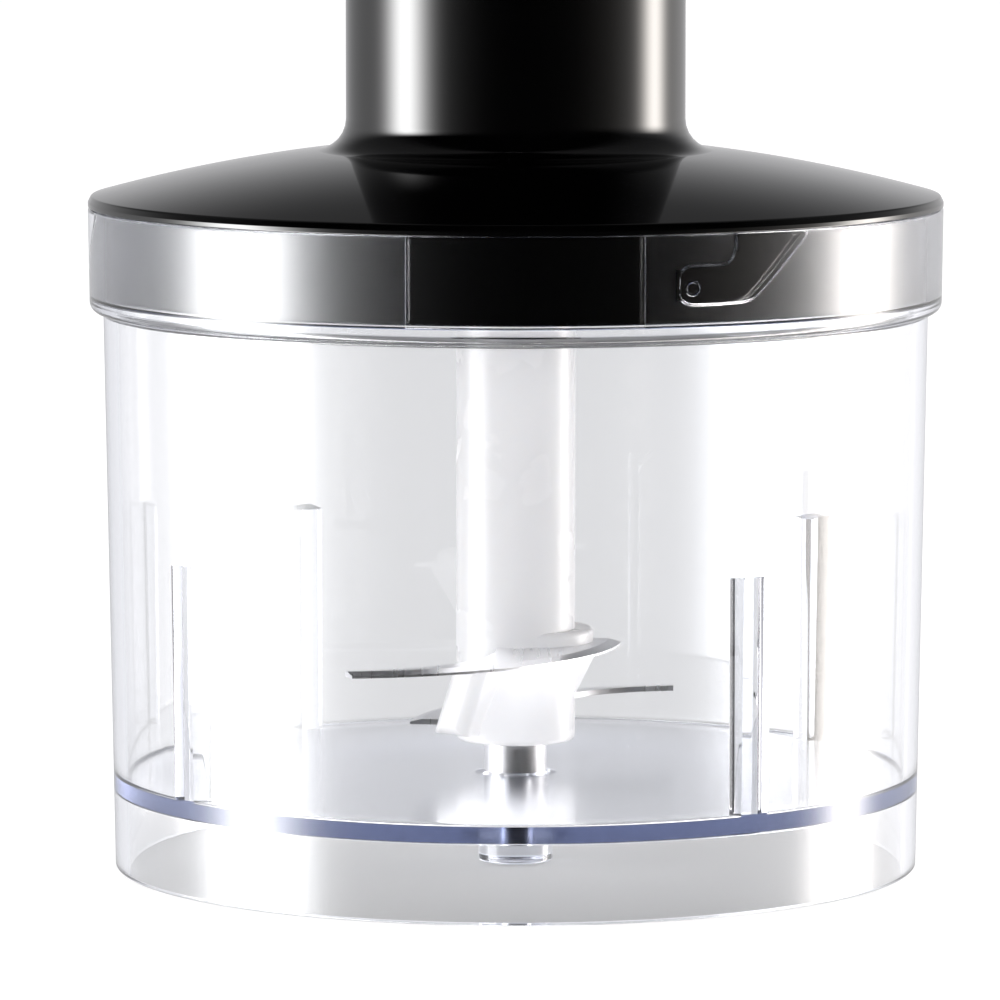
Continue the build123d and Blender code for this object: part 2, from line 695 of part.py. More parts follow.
with BuildPart() as input_bush:
    tube(input_bush_r, SUN_SHAFT_R + RUNNING, web_low, web_top)
    tube(input_bush_r + BUSH_FLANGE, SUN_SHAFT_R + RUNNING, web_top, web_top + BUSH_FLANGE_T)

with BuildPart() as output_bush:
    tube(output_bush_r, OUTPUT_R + RUNNING, boss_plate_low + SEAL_LIP_T, plate_top)

with BuildPart() as shaft_seal:
    tube(output_bush_r, OUTPUT_R + RUNNING, boss_plate_low, boss_plate_low + SEAL_LIP_T)

# Blades: two steel sickles, half a turn apart, whose outer edge is ground to a bevel
blades = []
for lift, angle in ((UPPER_BLADE_LIFT, BLADE_ANGLE), (LOWER_BLADE_LIFT, BLADE_ANGLE + 180)):
    blade_low = floor_z + lift
    along = Plane((0, 0, blade_low), x_dir=(cos(radians(angle)), sin(radians(angle)), 0), z_dir=(0, 0, 1))
    heel = (-BLADE_HEEL_BACK, BLADE_HEEL_OUT)
    crown = (BLADE_CROWN_ALONG, BLADE_CROWN_OUT)
    tip = (BLADE_REACH, 0)
    tip_back = (BLADE_REACH - BLADE_TIP_BACK, -BLADE_TIP_W)
    hollow = (BLADE_HOLLOW_ALONG, BLADE_HOLLOW_OUT)
    with BuildPart() as blade:
        with BuildSketch(along) as sickle:
            with BuildLine():
                cutting_edge = ThreePointArc(heel, crown, tip)
                Line(tip, tip_back)
                ThreePointArc(tip_back, hollow, (BLADE_ROOT_L, 0))
                Polyline((BLADE_ROOT_L, 0), (-BLADE_ROOT_L, 0), heel)
            make_face()
            Circle(BLADE_ROOT_R)
            Circle(BLADE_HOLE_R, mode=Mode.SUBTRACT)
        extrude(sickle.sketch, amount=BLADE_T)
        edge_middle = along.from_local_coords(cutting_edge @ 0.5)
        bevel_edge = blade.faces().sort_by(Axis.Z)[-1].edges().sort_by_distance(edge_middle)[0]
        chamfer(bevel_edge, BEVEL_T, BEVEL_W, reference=blade.faces().sort_by_distance(edge_middle)[0])
    blades.append(blade)
upper_blade, lower_blade = blades

with BuildPart() as blade_hub:
    lathe(
        [(0, hub_low), (HUB_R, hub_low), (HUB_R, hub_top), (0, hub_top)],
        rounds=[((HUB_R, hub_low), HUB_EDGE_R), ((HUB_R, hub_top), HUB_EDGE_R)],
    )
    # Over the lower blade's heel a slanted web, and round the upper one's heel a short collar on a gusset
    upper_low = floor_z + UPPER_BLADE_LIFT
    wing_low = floor_z + LOWER_BLADE_LIFT - WING_MARGIN
    wing_high = upper_low - WING_HEADROOM
    with BuildPart(mode=Mode.PRIVATE) as wing:
        with BuildSketch(facing(WING_ANGLE)) as slanted_foot:
            with BuildLine():
                Polyline(
                    (-WING_SLANT / 2 - WING_W / 2, wing_low),
                    (-WING_SLANT / 2 + WING_W / 2, wing_low),
                    (WING_SLANT / 2 + WING_W / 2, wing_high),
                    (WING_SLANT / 2 - WING_W / 2, wing_high),
                    close=True,
                )
            make_face()
        extrude(slanted_foot.sketch, amount=WING_R)
        outwards = Axis((0, 0, 0), facing(WING_ANGLE).z_dir)
        fillet(wing.faces().sort_by(outwards)[-1].edges(), WING_ROUND)
    add(wing.part)
    with BuildSketch(facing(GUSSET_ANGLE + 90)) as gusset:
        with BuildLine():
            Polyline(
                (0, upper_low),
                (-GUSSET_R, upper_low),
                (-BLADE_ROOT_R, upper_low - GUSSET_H),
                (0, upper_low - GUSSET_H),
                close=True,
            )
        make_face()
    extrude(gusset.sketch, amount=GUSSET_W / 2, both=True)
    heel_turn = radians(GUSSET_ANGLE)
    with BuildPart(mode=Mode.PRIVATE) as heel_collar:
        with BuildSketch(Plane.XY.offset(upper_low)) as round_foot:
            with Locations((HEEL_COLLAR_OFF * cos(heel_turn), HEEL_COLLAR_OFF * sin(heel_turn))):
                Circle(HEEL_COLLAR_R)
        extrude(round_foot.sketch, amount=BLADE_T + HEEL_COLLAR_H)
        fillet(heel_collar.edges().sort_by(Axis.Z)[-1], HEEL_COLLAR_ROUND)
    add(heel_collar.part)
    disc(PIN_R + RUNNING, hub_low, pin_top + FACE_GAP, mode=Mode.SUBTRACT)
    hexagon(OUTPUT_HEX + SLIDING, hub_socket_low, hub_top, mode=Mode.SUBTRACT)
    add(upper_blade.part, mode=Mode.SUBTRACT)
    add(lower_blade.part, mode=Mode.SUBTRACT)

# Drive line: the lid's socket, the motor's dog, and the motor's turning parts on one shaft
with BuildPart() as drive_socket:
    disc(SOCKET_R, socket_low, socket_top)
    disc(SUN_SHAFT_R, socket_low, socket_low + SOCKET_FLOOR, mode=Mode.SUBTRACT)
    hexagon(DOG_HEX + SLIDING, socket_low + SOCKET_FLOOR, socket_top, mode=Mode.SUBTRACT)

with BuildPart() as drive_dog:
    hexagon(DOG_HEX, dog_low, dog_top)
    disc(SOCKET_R, dog_top, dog_top + DOG_FLANGE_T)
    disc(SHAFT_R, dog_low, dog_top + DOG_FLANGE_T, mode=Mode.SUBTRACT)

with BuildPart() as motor_shaft:
    disc(SHAFT_R, dog_low, shaft_top)

with BuildPart() as cooling_fan:
    fan_r = motor_r - FAN_GAP
    disc(fan_r, fan_low, fan_low + FAN_DISC_T)
    disc(FAN_HUB_R, fan_low, fan_low + FAN_H)
    with BuildSketch(Plane.XY.offset(fan_low + FAN_DISC_T)) as vanes:
        with PolarLocations((FAN_HUB_R + fan_r) / 2 - FUSE, FAN_VANES):
            Rectangle(fan_r - FAN_HUB_R, FAN_VANE_T)
    extrude(vanes.sketch, amount=FAN_H - FAN_DISC_T)
    disc(SHAFT_R, fan_low, fan_low + FAN_H, mode=Mode.SUBTRACT)

with BuildPart() as armature_core:
    disc(core_r, core_low, core_top)
    with BuildSketch(Plane.XY.offset(core_low)) as slots:
        with PolarLocations((CORE_SLOT_FLOOR_R + core_r) / 2 + FUSE, CORE_SLOTS):
            Rectangle(core_r - CORE_SLOT_FLOOR_R + 2 * FUSE, CORE_SLOT_W)
    extrude(slots.sketch, amount=CORE_L, mode=Mode.SUBTRACT)
    disc(SHAFT_R, core_low, core_top, mode=Mode.SUBTRACT)

with BuildPart() as armature_winding:
    for low in (core_low - WINDING_L, core_top):
        tube(WINDING_R, SHAFT_R, low, low + WINDING_L)

with BuildPart() as commutator:
    tube(COMMUTATOR_R, SHAFT_R, commutator_low, commutator_low + COMMUTATOR_L)

# Motor: can, magnets, end bells, bearings and brushes
with BuildPart() as motor_can:
    tube(motor_r, can_in_r, can_low, can_top)

with BuildPart() as field_magnets:
    for side in (-1, 1):
        ring_segment(
            magnet_in_r,
            can_in_r,
            side * 90,
            MAGNET_SPAN,
            can_low + MAGNET_INSET,
            core_top + CORE_INSET - MAGNET_INSET,
        )

with BuildPart() as lower_end_bell:
    tube(motor_r, BEARING_R, bell_low, can_low)

with BuildPart() as upper_end_bell:
    tube(motor_r, BEARING_R, can_top, bell_top)
    holder_low = brush_low - HOLDER_WALL
    holder_w = BRUSH_W + 2 * HOLDER_WALL
    holder_in = brush_in_r + HOLDER_INSET
    holder_l = BRUSH_L - HOLDER_INSET
    with BuildSketch(Plane.XY.offset(holder_low)) as holders:
        with PolarLocations(holder_in + holder_l / 2, 2):
            Rectangle(holder_l, holder_w)
    extrude(holders.sketch, amount=can_top - holder_low)
    with BuildSketch(Plane.XY.offset(brush_low)) as brush_ways:
        with PolarLocations(holder_in + holder_l / 2, 2):
            Rectangle(holder_l, BRUSH_W)
    extrude(brush_ways.sketch, amount=BRUSH_H, mode=Mode.SUBTRACT)

with BuildPart() as carbon_brushes:
    with BuildSketch(Plane.XY.offset(brush_low)) as brushes:
        with PolarLocations(brush_in_r + BRUSH_L / 2, 2):
            Rectangle(BRUSH_L, BRUSH_W)
    extrude(brushes.sketch, amount=BRUSH_H)

with BuildPart() as lower_bearing:
    tube(BEARING_R, SHAFT_R + RUNNING, bell_low, can_low)

with BuildPart() as upper_bearing:
    tube(BEARING_R, SHAFT_R + RUNNING, can_top, bell_top)

# Motor unit: coupler with two catches, a tapered handle in two shells, and a soft panel round the buttons
with BuildPart() as twist_coupler:
    flange_r = NECK_R - HANDLE_WALL - SLIDING
    lathe(
        [
            (SPIGOT_HOLE_R, spigot_low),
            (spigot_r, spigot_low),
            (spigot_r, seam_z),
            (groove_r, seam_z),
            (groove_r, flange_low),
            (flange_r, flange_low),
            (flange_r, flange_top),
            (spigot_in_r, flange_top),
            (spigot_in_r, spigot_low + SPIGOT_END_T),
            (SPIGOT_HOLE_R, spigot_low + SPIGOT_END_T),
        ]
    )
    for turn in range(CATCH_COUNT):
        ring_segment(
            spigot_r - FUSE,
            catch_r,
            CATCH_ANGLE + turn * 360 / CATCH_COUNT,
            CATCH_SPAN,
            catch_low,
            catch_low + CATCH_H,
        )


def tapered_skin(inner_offset, outer_offset, side):
    """Turn half a skin along the handle's taper, between two offsets: side -1 front, 1 back."""
    with BuildSketch(Plane((0, 0, 0), x_dir=(side, 0, 0), z_dir=(0, -side, 0))) as skin:
        with BuildLine():
            Polyline(
                (NECK_R + inner_offset, seam_z),
                (NECK_R + outer_offset, seam_z),
                (grip_r + outer_offset, shell_top),
                (grip_r + inner_offset, shell_top),
                close=True,
            )
        make_face()
    revolve(skin.sketch, axis=Axis.Z, revolution_arc=180)


def panel_form(margin, outer_offset):
    """The grip panel's form, or with a margin the pocket that it lies in."""
    tapered_skin(-PANEL_SINK, outer_offset, -1)
    with BuildSketch(Plane.XZ) as outline:
        with Locations((0, (panel_low + panel_high) / 2)):
            SlotOverall(panel_high - panel_low + 2 * margin, PANEL_W + 2 * margin, rotation=90)
    extrude(outline.sketch, amount=through, mode=Mode.INTERSECT)


def button_holes(radius):
    """Cut the two button holes through the front."""
    with BuildSketch(Plane.XZ) as holes:
        with Locations(*[(0, height) for height in button_heights.values()]):
            Circle(radius)
    extrude(holes.sketch, amount=through, mode=Mode.SUBTRACT)


with BuildPart() as panel_pocket:
    panel_form(FACE_GAP, FUSE)

with BuildPart() as grip_panel:
    panel_form(0, PANEL_PROUD)
    button_holes(BUTTON_R + BUTTON_GAP)


def handle_half(side):
    """Half of the handle's wall with the rings that hold the coupler and the motor: side -1 front, 1 back."""
    tapered_skin(-HANDLE_WALL, 0, side)
    rings = [(seam_z, seam_z + GROOVE_H - SLIDING, groove_r + SLIDING)]
    rings += [(low, low + MOTOR_RIB_T, motor_r + RUNNING) for low in rib_heights]
    for low, high, inner in rings:
        ring_segment(inner, handle_r(low) - HANDLE_WALL + FUSE, side * 90, 180, low, high)


def screw_posts(side):
    """Posts for the housing screws, from the shells' seam to the wall: side -1 front, 1 back."""
    for height in housing_screw_heights:
        reach = sqrt((handle_r(height) - HANDLE_WALL + FUSE) ** 2 - (post_x + post_r) ** 2)
        with BuildSketch(Plane.XZ) as posts:
            with Locations((-post_x, height), (post_x, height)):
                Circle(post_r)
        extrude(posts.sketch, amount=-side * reach)


with BuildPart() as handle_front:
    handle_half(-1)
    add(panel_pocket.part, mode=Mode.SUBTRACT)
    button_holes(BUTTON_R + BUTTON_GAP)
    screw_posts(-1)
    with BuildSketch(Plane.XZ) as front_pilots:
        with GridLocations(2 * post_x, 1, 2, 1):
            with Locations(*[(0, height) for height in housing_screw_heights]):
                Circle(SCREW_R)
    extrude(front_pilots.sketch, amount=HOUSING_SCREW_L / 2, mode=Mode.SUBTRACT)
    # Rails that carry the control board
    rail_reach = sqrt((handle_r(rail_low) - HANDLE_WALL + FUSE) ** 2 - rail_x ** 2)
    with BuildSketch(Plane.XZ.offset(-BOARD_Y)) as rails:
        with Locations((-rail_x, (rail_low + rail_high) / 2), (rail_x, (rail_low + rail_high) / 2)):
            Rectangle(RAIL_W, rail_high - rail_low)
    extrude(rails.sketch, amount=rail_reach + BOARD_Y)
    with BuildSketch(Plane.XZ.offset(-BOARD_Y)) as rail_pilots:
        with GridLocations(2 * rail_x, 1, 2, 1):
            with Locations((0, rail_low + RAIL_INSET), (0, rail_high - RAIL_INSET)):
                Circle(BOARD_SCREW_R)
    extrude(rail_pilots.sketch, amount=BOARD_SCREW_L, mode=Mode.SUBTRACT)

with BuildPart() as handle_back:
    handle_half(1)
    screw_posts(1)
    with BuildSketch(Plane.XZ) as back_clearance:
        with GridLocations(2 * post_x, 1, 2, 1):
            with Locations(*[(0, height) for height in housing_screw_heights]):
                Circle(SCREW_R)
    extrude(back_clearance.sketch, amount=-through, mode=Mode.SUBTRACT)
    with BuildSketch(Plane.XZ.offset(-HOUSING_SCREW_L / 2)) as head_ways:
        with GridLocations(2 * post_x, 1, 2, 1):
            with Locations(*[(0, height) for height in housing_screw_heights]):
                Circle(SCREW_HEAD_R + SLIDING)
    extrude(head_ways.sketch, amount=-through, mode=Mode.SUBTRACT)
    with BuildSketch(Plane.XZ) as vents:
        with Locations((0, fan_low + VENT_RISE)):
            with GridLocations(1, VENT_PITCH, 1, VENT_COUNT):
                SlotOverall(VENT_W, VENT_H)
    extrude(vents.sketch, amount=-through, mode=Mode.SUBTRACT)
    with BuildSketch(Plane.XZ) as gland_way:
        with Locations((0, gland_z)):
            Circle(GLAND_R + FACE_GAP)
    extrude(gland_way.sketch, amount=-through, mode=Mode.SUBTRACT)

with BuildPart() as housing_screws:
    from_back = Plane((0, HOUSING_SCREW_L / 2, 0), x_dir=(-1, 0, 0), z_dir=(0, 1, 0))
    for height in housing_screw_heights:
        for x in (-post_x, post_x):
            turned_screw(x, height, 0, SCREW_R, SCREW_HEAD_R, SCREW_HEAD_T, HOUSING_SCREW_L, from_back)

with BuildPart() as cord_gland:
    gland_flange_r = GLAND_R + GLAND_FLANGE
    gland_wall = handle_r(gland_z - gland_flange_r) - HANDLE_WALL
    gland_seat = sqrt(gland_wall ** 2 - gland_flange_r ** 2) - FACE_GAP - GLAND_FLANGE_T
    with BuildSketch(Plane.XZ.offset(-gland_seat)) as gland_flange:
        with Locations((0, gland_z)):
            Circle(gland_flange_r)
    extrude(gland_flange.sketch, amount=-GLAND_FLANGE_T)
    with BuildSketch(Plane.XZ.offset(-gland_seat)) as gland_sleeve:
        with Locations((0, gland_z)):
            Circle(GLAND_R)
    extrude(gland_sleeve.sketch, amount=-(handle_r(gland_z) + GLAND_PROUD - gland_seat))
    with BuildSketch(Plane.XZ) as gland_bore:
        with Locations((0, gland_z)):
            Circle(GLAND_BORE_R)
    extrude(gland_bore.sketch, amount=-through, mode=Mode.SUBTRACT)

# Cap, dial and the speed control under it
with BuildPart() as top_cap:
    plug_r = handle_r(cap_low - CAP_PLUG_L) - HANDLE_WALL - SLIDING
    with BuildSketch(Plane.XZ) as cap_solid:
        with BuildLine():
            shoulder = TangentArc((grip_r, cap_low), (CAP_TOP_R, cap_top), tangent=(0, 1))
            Polyline(shoulder @ 1, (0, cap_top), (0, cap_low - CAP_PLUG_L), (plug_r, cap_low - CAP_PLUG_L))
            Polyline((plug_r, cap_low - CAP_PLUG_L), (plug_r, cap_low), (grip_r, cap_low))
        make_face()
    revolve(cap_solid.sketch, axis=Axis.Z)
    disc(plug_r - CAP_WALL, cap_low - CAP_PLUG_L, cap_low, mode=Mode.SUBTRACT)
    control_top = cap_top - DIAL_SINK - CAP_WALL
    disc(CAP_TOP_R - CAP_WALL, cap_low, control_top, mode=Mode.SUBTRACT)
    disc(DIAL_R + BUTTON_GAP, cap_top - DIAL_SINK, cap_top, mode=Mode.SUBTRACT)
    disc(DIAL_STEM_R + BUTTON_GAP, control_top, cap_top, mode=Mode.SUBTRACT)

with BuildPart() as speed_control:
    with BuildSketch(Plane.XY.offset(control_top)) as control_body:
        RectangleRounded(CONTROL_W, CONTROL_W, CORNER_R)
    extrude(control_body.sketch, amount=-CONTROL_T)
    disc(DIAL_STEM_R + RUNNING, control_top - CONTROL_T / 2, control_top, mode=Mode.SUBTRACT)

with BuildPart() as speed_dial:
    lathe(
        [(0, dial_low), (DIAL_R, dial_low), (DIAL_R, dial_low + DIAL_H), (0, dial_low + DIAL_H)],
        rounds=[((DIAL_R, dial_low + DIAL_H), DIAL_EDGE_R)],
    )
    with BuildSketch(Plane.XY.offset(dial_low)) as flutes:
        with PolarLocations(DIAL_R + FLUTE_R / 2, DIAL_FLUTES):
            Circle(FLUTE_R)
    extrude(flutes.sketch, amount=DIAL_H, mode=Mode.SUBTRACT)
    disc(DIAL_STEM_R, control_top - CONTROL_T / 2 + FACE_GAP, dial_low)

# Buttons: a cap with a flange behind the shell and a stem to its switch
button_parts = {}
switch_parts = {}
for name, height in button_heights.items():
    shell_in = handle_r(height - button_flange_r) - HANDLE_WALL
    flange_front = sqrt(shell_in ** 2 - button_flange_r ** 2) - BUTTON_GAP
    cap_front = handle_r(height) + BUTTON_PROUD
    with BuildPart() as button:
        with BuildSketch(Plane.XZ.offset(flange_front - BUTTON_FLANGE_T)) as flange_form:
            with Locations((0, height)):
                Circle(button_flange_r)
        extrude(flange_form.sketch, amount=BUTTON_FLANGE_T)
        with BuildSketch(Plane.XZ.offset(flange_front - FUSE)) as cap_form:
            with Locations((0, height)):
                Circle(BUTTON_R)
        extrude(cap_form.sketch, amount=cap_front - flange_front + FUSE)
        fillet(button.edges().sort_by(Axis.Y)[0], BUTTON_EDGE_R)
        with BuildSketch(Plane.XZ.offset(-switch_face)) as stem_form:
            with Locations((0, height)):
                Circle(STEM_R)
        extrude(stem_form.sketch, amount=flange_front - BUTTON_FLANGE_T + switch_face + FUSE)
    with BuildPart() as switch:
        with BuildSketch(Plane.XZ.offset(-BOARD_Y)) as switch_body:
            with Locations((0, height)):
                RectangleRounded(SWITCH_W, SWITCH_H, RIB_EDGE_R)
        extrude(switch_body.sketch, amount=SWITCH_T)
        with BuildSketch(Plane.XZ.offset(-switch_face)) as stem_way:
            with Locations((0, height)):
                Circle(STEM_R + BUTTON_GAP)
        extrude(stem_way.sketch, amount=-BUTTON_TRAVEL - TURN_GAP, mode=Mode.SUBTRACT)
    button_parts[name] = button
    switch_parts[name] = switch

with BuildPart() as control_board:
    with BuildSketch(Plane.XZ.offset(-BOARD_Y)) as board_outline:
        with Locations((0, (board_low + board_top) / 2)):
            RectangleRounded(board_w, board_top - board_low, CORNER_R)
        with GridLocations(2 * rail_x, 1, 2, 1):
            with Locations((0, rail_low + RAIL_INSET), (0, rail_high - RAIL_INSET)):
                Circle(BOARD_SCREW_R, mode=Mode.SUBTRACT)
    extrude(board_outline.sketch, amount=-BOARD_T)

with BuildPart() as board_screws:
    behind_board = Plane((0, BOARD_Y + BOARD_T, 0), x_dir=(-1, 0, 0), z_dir=(0, 1, 0))
    for x in (-rail_x, rail_x):
        for height in (rail_low + RAIL_INSET, rail_high - RAIL_INSET):
            turned_screw(
                x,
                height,
                0,
                BOARD_SCREW_R,
                BOARD_SCREW_HEAD_R,
                BOARD_SCREW_HEAD_T,
                BOARD_SCREW_L,
                behind_board,
            )

# Every piece under its own name
pieces = {
    "chop_bowl": chop_bowl,
    "blade_pin": blade_pin,
    "lid_shell": lid_shell,
    "lid_plate": lid_plate,
    "plate_seal": plate_seal,
    "plate_screws": plate_screws,
    "ring_gear": ring_gear,
    "input_bush": input_bush,
    "output_bush": output_bush,
    "shaft_seal": shaft_seal,
    "planet_carrier": planet_carrier,
    "planet_pins": planet_pins,
    "blade_hub": blade_hub,
    "upper_blade": upper_blade,
    "lower_blade": lower_blade,
    "sun_pinion": sun_pinion,
    "drive_socket": drive_socket,
    "drive_dog": drive_dog,
    "motor_shaft": motor_shaft,
    "cooling_fan": cooling_fan,
    "armature_core": armature_core,
    "armature_winding": armature_winding,
    "commutator": commutator,
    "motor_can": motor_can,
    "field_magnets": field_magnets,
    "lower_end_bell": lower_end_bell,
    "upper_end_bell": upper_end_bell,
    "carbon_brushes": carbon_brushes,
    "lower_bearing": lower_bearing,
    "upper_bearing": upper_bearing,
    "twist_coupler": twist_coupler,
    "handle_front": handle_front,
    "handle_back": handle_back,
    "grip_panel": grip_panel,
    "housing_screws": housing_screws,
    "cord_gland": cord_gland,
    "top_cap": top_cap,
    "speed_control": speed_control,
    "speed_dial": speed_dial,
    "power_button": button_parts["power"],
    "turbo_button": button_parts["turbo"],
    "power_switch": switch_parts["power"],
    "turbo_switch": switch_parts["turbo"],
    "control_board": control_board,
    "board_screws": board_screws,
}
for number, planet_gear in enumerate(planet_gears, start=1):
    pieces[f"planet_gear_{number}"] = planet_gear

os.makedirs("parts", exist_ok=True)
for name, piece in pieces.items():
    piece.part.label = name
    export_step(piece.part, f"parts/{name}.step")
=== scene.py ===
# %% [markdown]
# # An immersion blender on its chopper
# A clear bowl with steel blades stands on the table, a gloss black gear lid closes it, and the motor unit
# stands in the lid's neck. The frame brings every machined piece in metres, at rest. This lesson gives
# every piece its finish, replaces the two pieces whose looks decide the picture, the bowl and the lid, by
# finer surfaces, puts marks on the hand unit, and sets up the studio.

# %% Load the frame
import json
from math import radians

import bpy
import numpy as np
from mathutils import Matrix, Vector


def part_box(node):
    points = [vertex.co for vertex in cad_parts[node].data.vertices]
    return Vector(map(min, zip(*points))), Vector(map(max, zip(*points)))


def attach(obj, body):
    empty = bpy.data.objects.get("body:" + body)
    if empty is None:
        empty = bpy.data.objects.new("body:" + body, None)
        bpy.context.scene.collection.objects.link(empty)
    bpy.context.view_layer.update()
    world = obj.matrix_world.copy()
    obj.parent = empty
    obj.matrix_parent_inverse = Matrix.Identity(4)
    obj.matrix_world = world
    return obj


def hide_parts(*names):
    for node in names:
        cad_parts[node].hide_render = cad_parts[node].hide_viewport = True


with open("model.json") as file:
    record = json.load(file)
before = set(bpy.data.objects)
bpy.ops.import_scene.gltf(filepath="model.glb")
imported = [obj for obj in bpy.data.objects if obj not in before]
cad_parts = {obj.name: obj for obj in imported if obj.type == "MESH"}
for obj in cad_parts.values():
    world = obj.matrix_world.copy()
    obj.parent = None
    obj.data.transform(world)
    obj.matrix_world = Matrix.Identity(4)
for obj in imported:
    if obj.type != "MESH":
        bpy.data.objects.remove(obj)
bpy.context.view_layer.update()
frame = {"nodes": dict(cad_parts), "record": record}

nodes = frame["nodes"]
MM = 0.001


# %% [markdown]
# ## Turned shapes from outlines
# A moulded bowl or lid is a profile turned about an axis. Blender's Screw modifier could turn a curve,
# but then ribs and catches could not be pressed out of the wall. So the outline becomes an array of
# radii and heights, the turn becomes an array of angles, and the two make a grid that can be pushed in
# and out anywhere before it becomes a mesh. Sharp corners hardly exist on mouldings, so the outline's
# corners are rounded first.

# %% Round the corners of an outline
ARC_STEPS = 7
GUARD = 0.12
LEAST_STEP, TINY, NO_LENGTH = 1e-4, 1e-6, 1e-9
SHARPEST, FLATTEST = radians(1), radians(89.5)


def unit(vectors):
    """Vectors divided by their length; a vector without length stays without."""
    return vectors / np.maximum(np.linalg.norm(vectors, axis=1, keepdims=True), NO_LENGTH)


def rounded_outline(corners):
    """Round the corners of a closed outline of (radius, height, rounding) rows, in millimetres.

    At each corner the two unit vectors along its sides give the bisector. The rounding's centre lies on
    the bisector at rounding / sin(half angle), and the arc runs between the feet of the centre on both
    sides. One more row lies just outside each foot, so that the flat beyond it shades as a flat.
    """
    corners = np.array(corners, float)
    spot, rounding = corners[:, :2], corners[:, 2:]
    back = unit(np.roll(spot, 1, 0) - spot)
    ahead = unit(np.roll(spot, -1, 0) - spot)
    half = np.arccos(np.clip((back * ahead).sum(1, keepdims=True), -1, 1)) / 2
    half = np.clip(half, SHARPEST, FLATTEST)
    centre = spot + unit(back + ahead) * rounding / np.sin(half)
    first = spot + back * rounding / np.tan(half) - centre
    last = spot + ahead * rounding / np.tan(half) - centre
    sweep = (np.pi - 2 * half)[:, :, None]
    share = np.linspace(0, 1, ARC_STEPS)[None, :, None]
    arc = np.sin((1 - share) * sweep) * first[:, None] + np.sin(share * sweep) * last[:, None]
    arc = centre[:, None] + arc / np.sin(sweep)
    reach = rounding / np.tan(half) + np.where(rounding > 0, GUARD, 0)
    rows = [(spot + back * reach)[:, None], arc, (spot + ahead * reach)[:, None]]
    rows = np.concatenate(rows, axis=1).reshape(-1, 2)
    step = np.linalg.norm(rows - np.roll(rows, 1, 0), axis=1)
    return rows[step > LEAST_STEP]


square = [(0, 0, 1), (9, 0, 1), (9, 9, 1), (0, 9, 1)]
print("a square with round corners has", len(rounded_outline(square)), "rows")


# %% From rows and columns to a grid
def turned(radius, height, angle):
    """Points of a turned surface, in metres: (radius cos angle, radius sin angle, height) all over."""
    radius, height, angle = np.broadcast_arrays(radius, height, angle)
    return np.stack([radius * np.cos(angle), radius * np.sin(angle), height], -1) * MM


def quads(rows, columns, wrap_rows=False, wrap_columns=True):
    """Corner numbers of the four-sided faces between neighbouring rows and columns of a grid."""
    row = np.arange(rows if wrap_rows else rows - 1)[:, None]
    column = np.arange(columns if wrap_columns else columns - 1)[None, :]
    below, beside = (row + 1) % rows * columns, (column + 1) % columns
    row = row * columns
    ring = [row + column, below + column, below + beside, row + beside]
    return np.stack(np.broadcast_arrays(*ring), -1).reshape(-1, 4)


def repeated(faces, copies, points):
    """The same faces for several grids of so many points that follow one another."""
    return (faces[None] + np.arange(copies)[:, None, None] * points).reshape(-1, 4)


print("a ring of 3 rows and 8 columns has", len(quads(3, 8)), "faces")

# %% From a grid to a piece
SHARP_ANGLE = 35


def make_piece(name, points, faces, material, body, matte=None):
    """Make a piece from a grid's points and faces, and seat it on its body.

    Points in one place, as at a pole, become one point. The piece is shaded smooth but for sharp edges.
    Where matte is given, it is a number for each point, from 0 for clear to 1 for matte.
    """
    mesh = bpy.data.meshes.new(name)
    points = np.round(points.reshape(-1, 3), 8)
    spots, first, place = np.unique(points, axis=0, return_index=True, return_inverse=True)
    faces = [list(dict.fromkeys(face)) for face in place.ravel()[faces].tolist()]
    mesh.from_pydata(spots.tolist(), [], [face for face in faces if len(face) > 2])
    mesh.shade_smooth()
    mesh.set_sharp_from_angle(angle=radians(SHARP_ANGLE))
    mesh.materials.append(material)
    if matte is not None:
        layer = mesh.attributes.new("matte", "FLOAT", "POINT")
        layer.data.foreach_set("value", matte.ravel()[first].astype(np.float32))
    piece = bpy.data.objects.new(name, mesh)
    bpy.context.scene.collection.objects.link(piece)
    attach(piece, body)
    print(name, "faces:", len(mesh.polygons))
    return piece


# %% [markdown]
# ## Finishes
# Real plastic and steel are never one even colour: a moulding's tone drifts a little, fingers leave gloss
# smudges, ground steel carries fine lines, and satin mouldings have a grain. Pictures of them could be
# wrapped round the pieces, but they would stretch and blur. So each effect is a small node group that
# reads Object coordinates, sticks to the piece and stays sharp, and each material places the groups with
# its own values.

# %% Gloss that varies as if smudged
FLOAT, COLOUR = "NodeSocketFloat", "NodeSocketColor"
NOISE_LOW, NOISE_HIGH = 0.35, 0.65


def new_group(name, inputs, outputs):
    """A shader node group with float or colour sockets, and its input and output nodes."""
    group = bpy.data.node_groups.new(name, "ShaderNodeTree")
    for title, kind, value in inputs:
        socket = group.interface.new_socket(title, in_out="INPUT", socket_type=kind)
        socket.default_value = value
    for title, kind in outputs:
        group.interface.new_socket(title, in_out="OUTPUT", socket_type=kind)
    return group, group.nodes.new("NodeGroupInput"), group.nodes.new("NodeGroupOutput")


def object_noise(group, scale_socket, detail, stretch=(1, 1, 1)):
    """Noise on Object coordinates, stretched by a Mapping node, with its scale from a group socket."""
    where = group.nodes.new("ShaderNodeTexCoord")
    mapping = group.nodes.new("ShaderNodeMapping")
    mapping.inputs["Scale"].default_value = stretch
    noise = group.nodes.new("ShaderNodeTexNoise")
    noise.inputs["Detail"].default_value = detail
    group.links.new(where.outputs["Object"], mapping.inputs["Vector"])
    group.links.new(mapping.outputs["Vector"], noise.inputs["Vector"])
    group.links.new(scale_socket, noise.inputs["Scale"])
    return noise.outputs["Fac"]


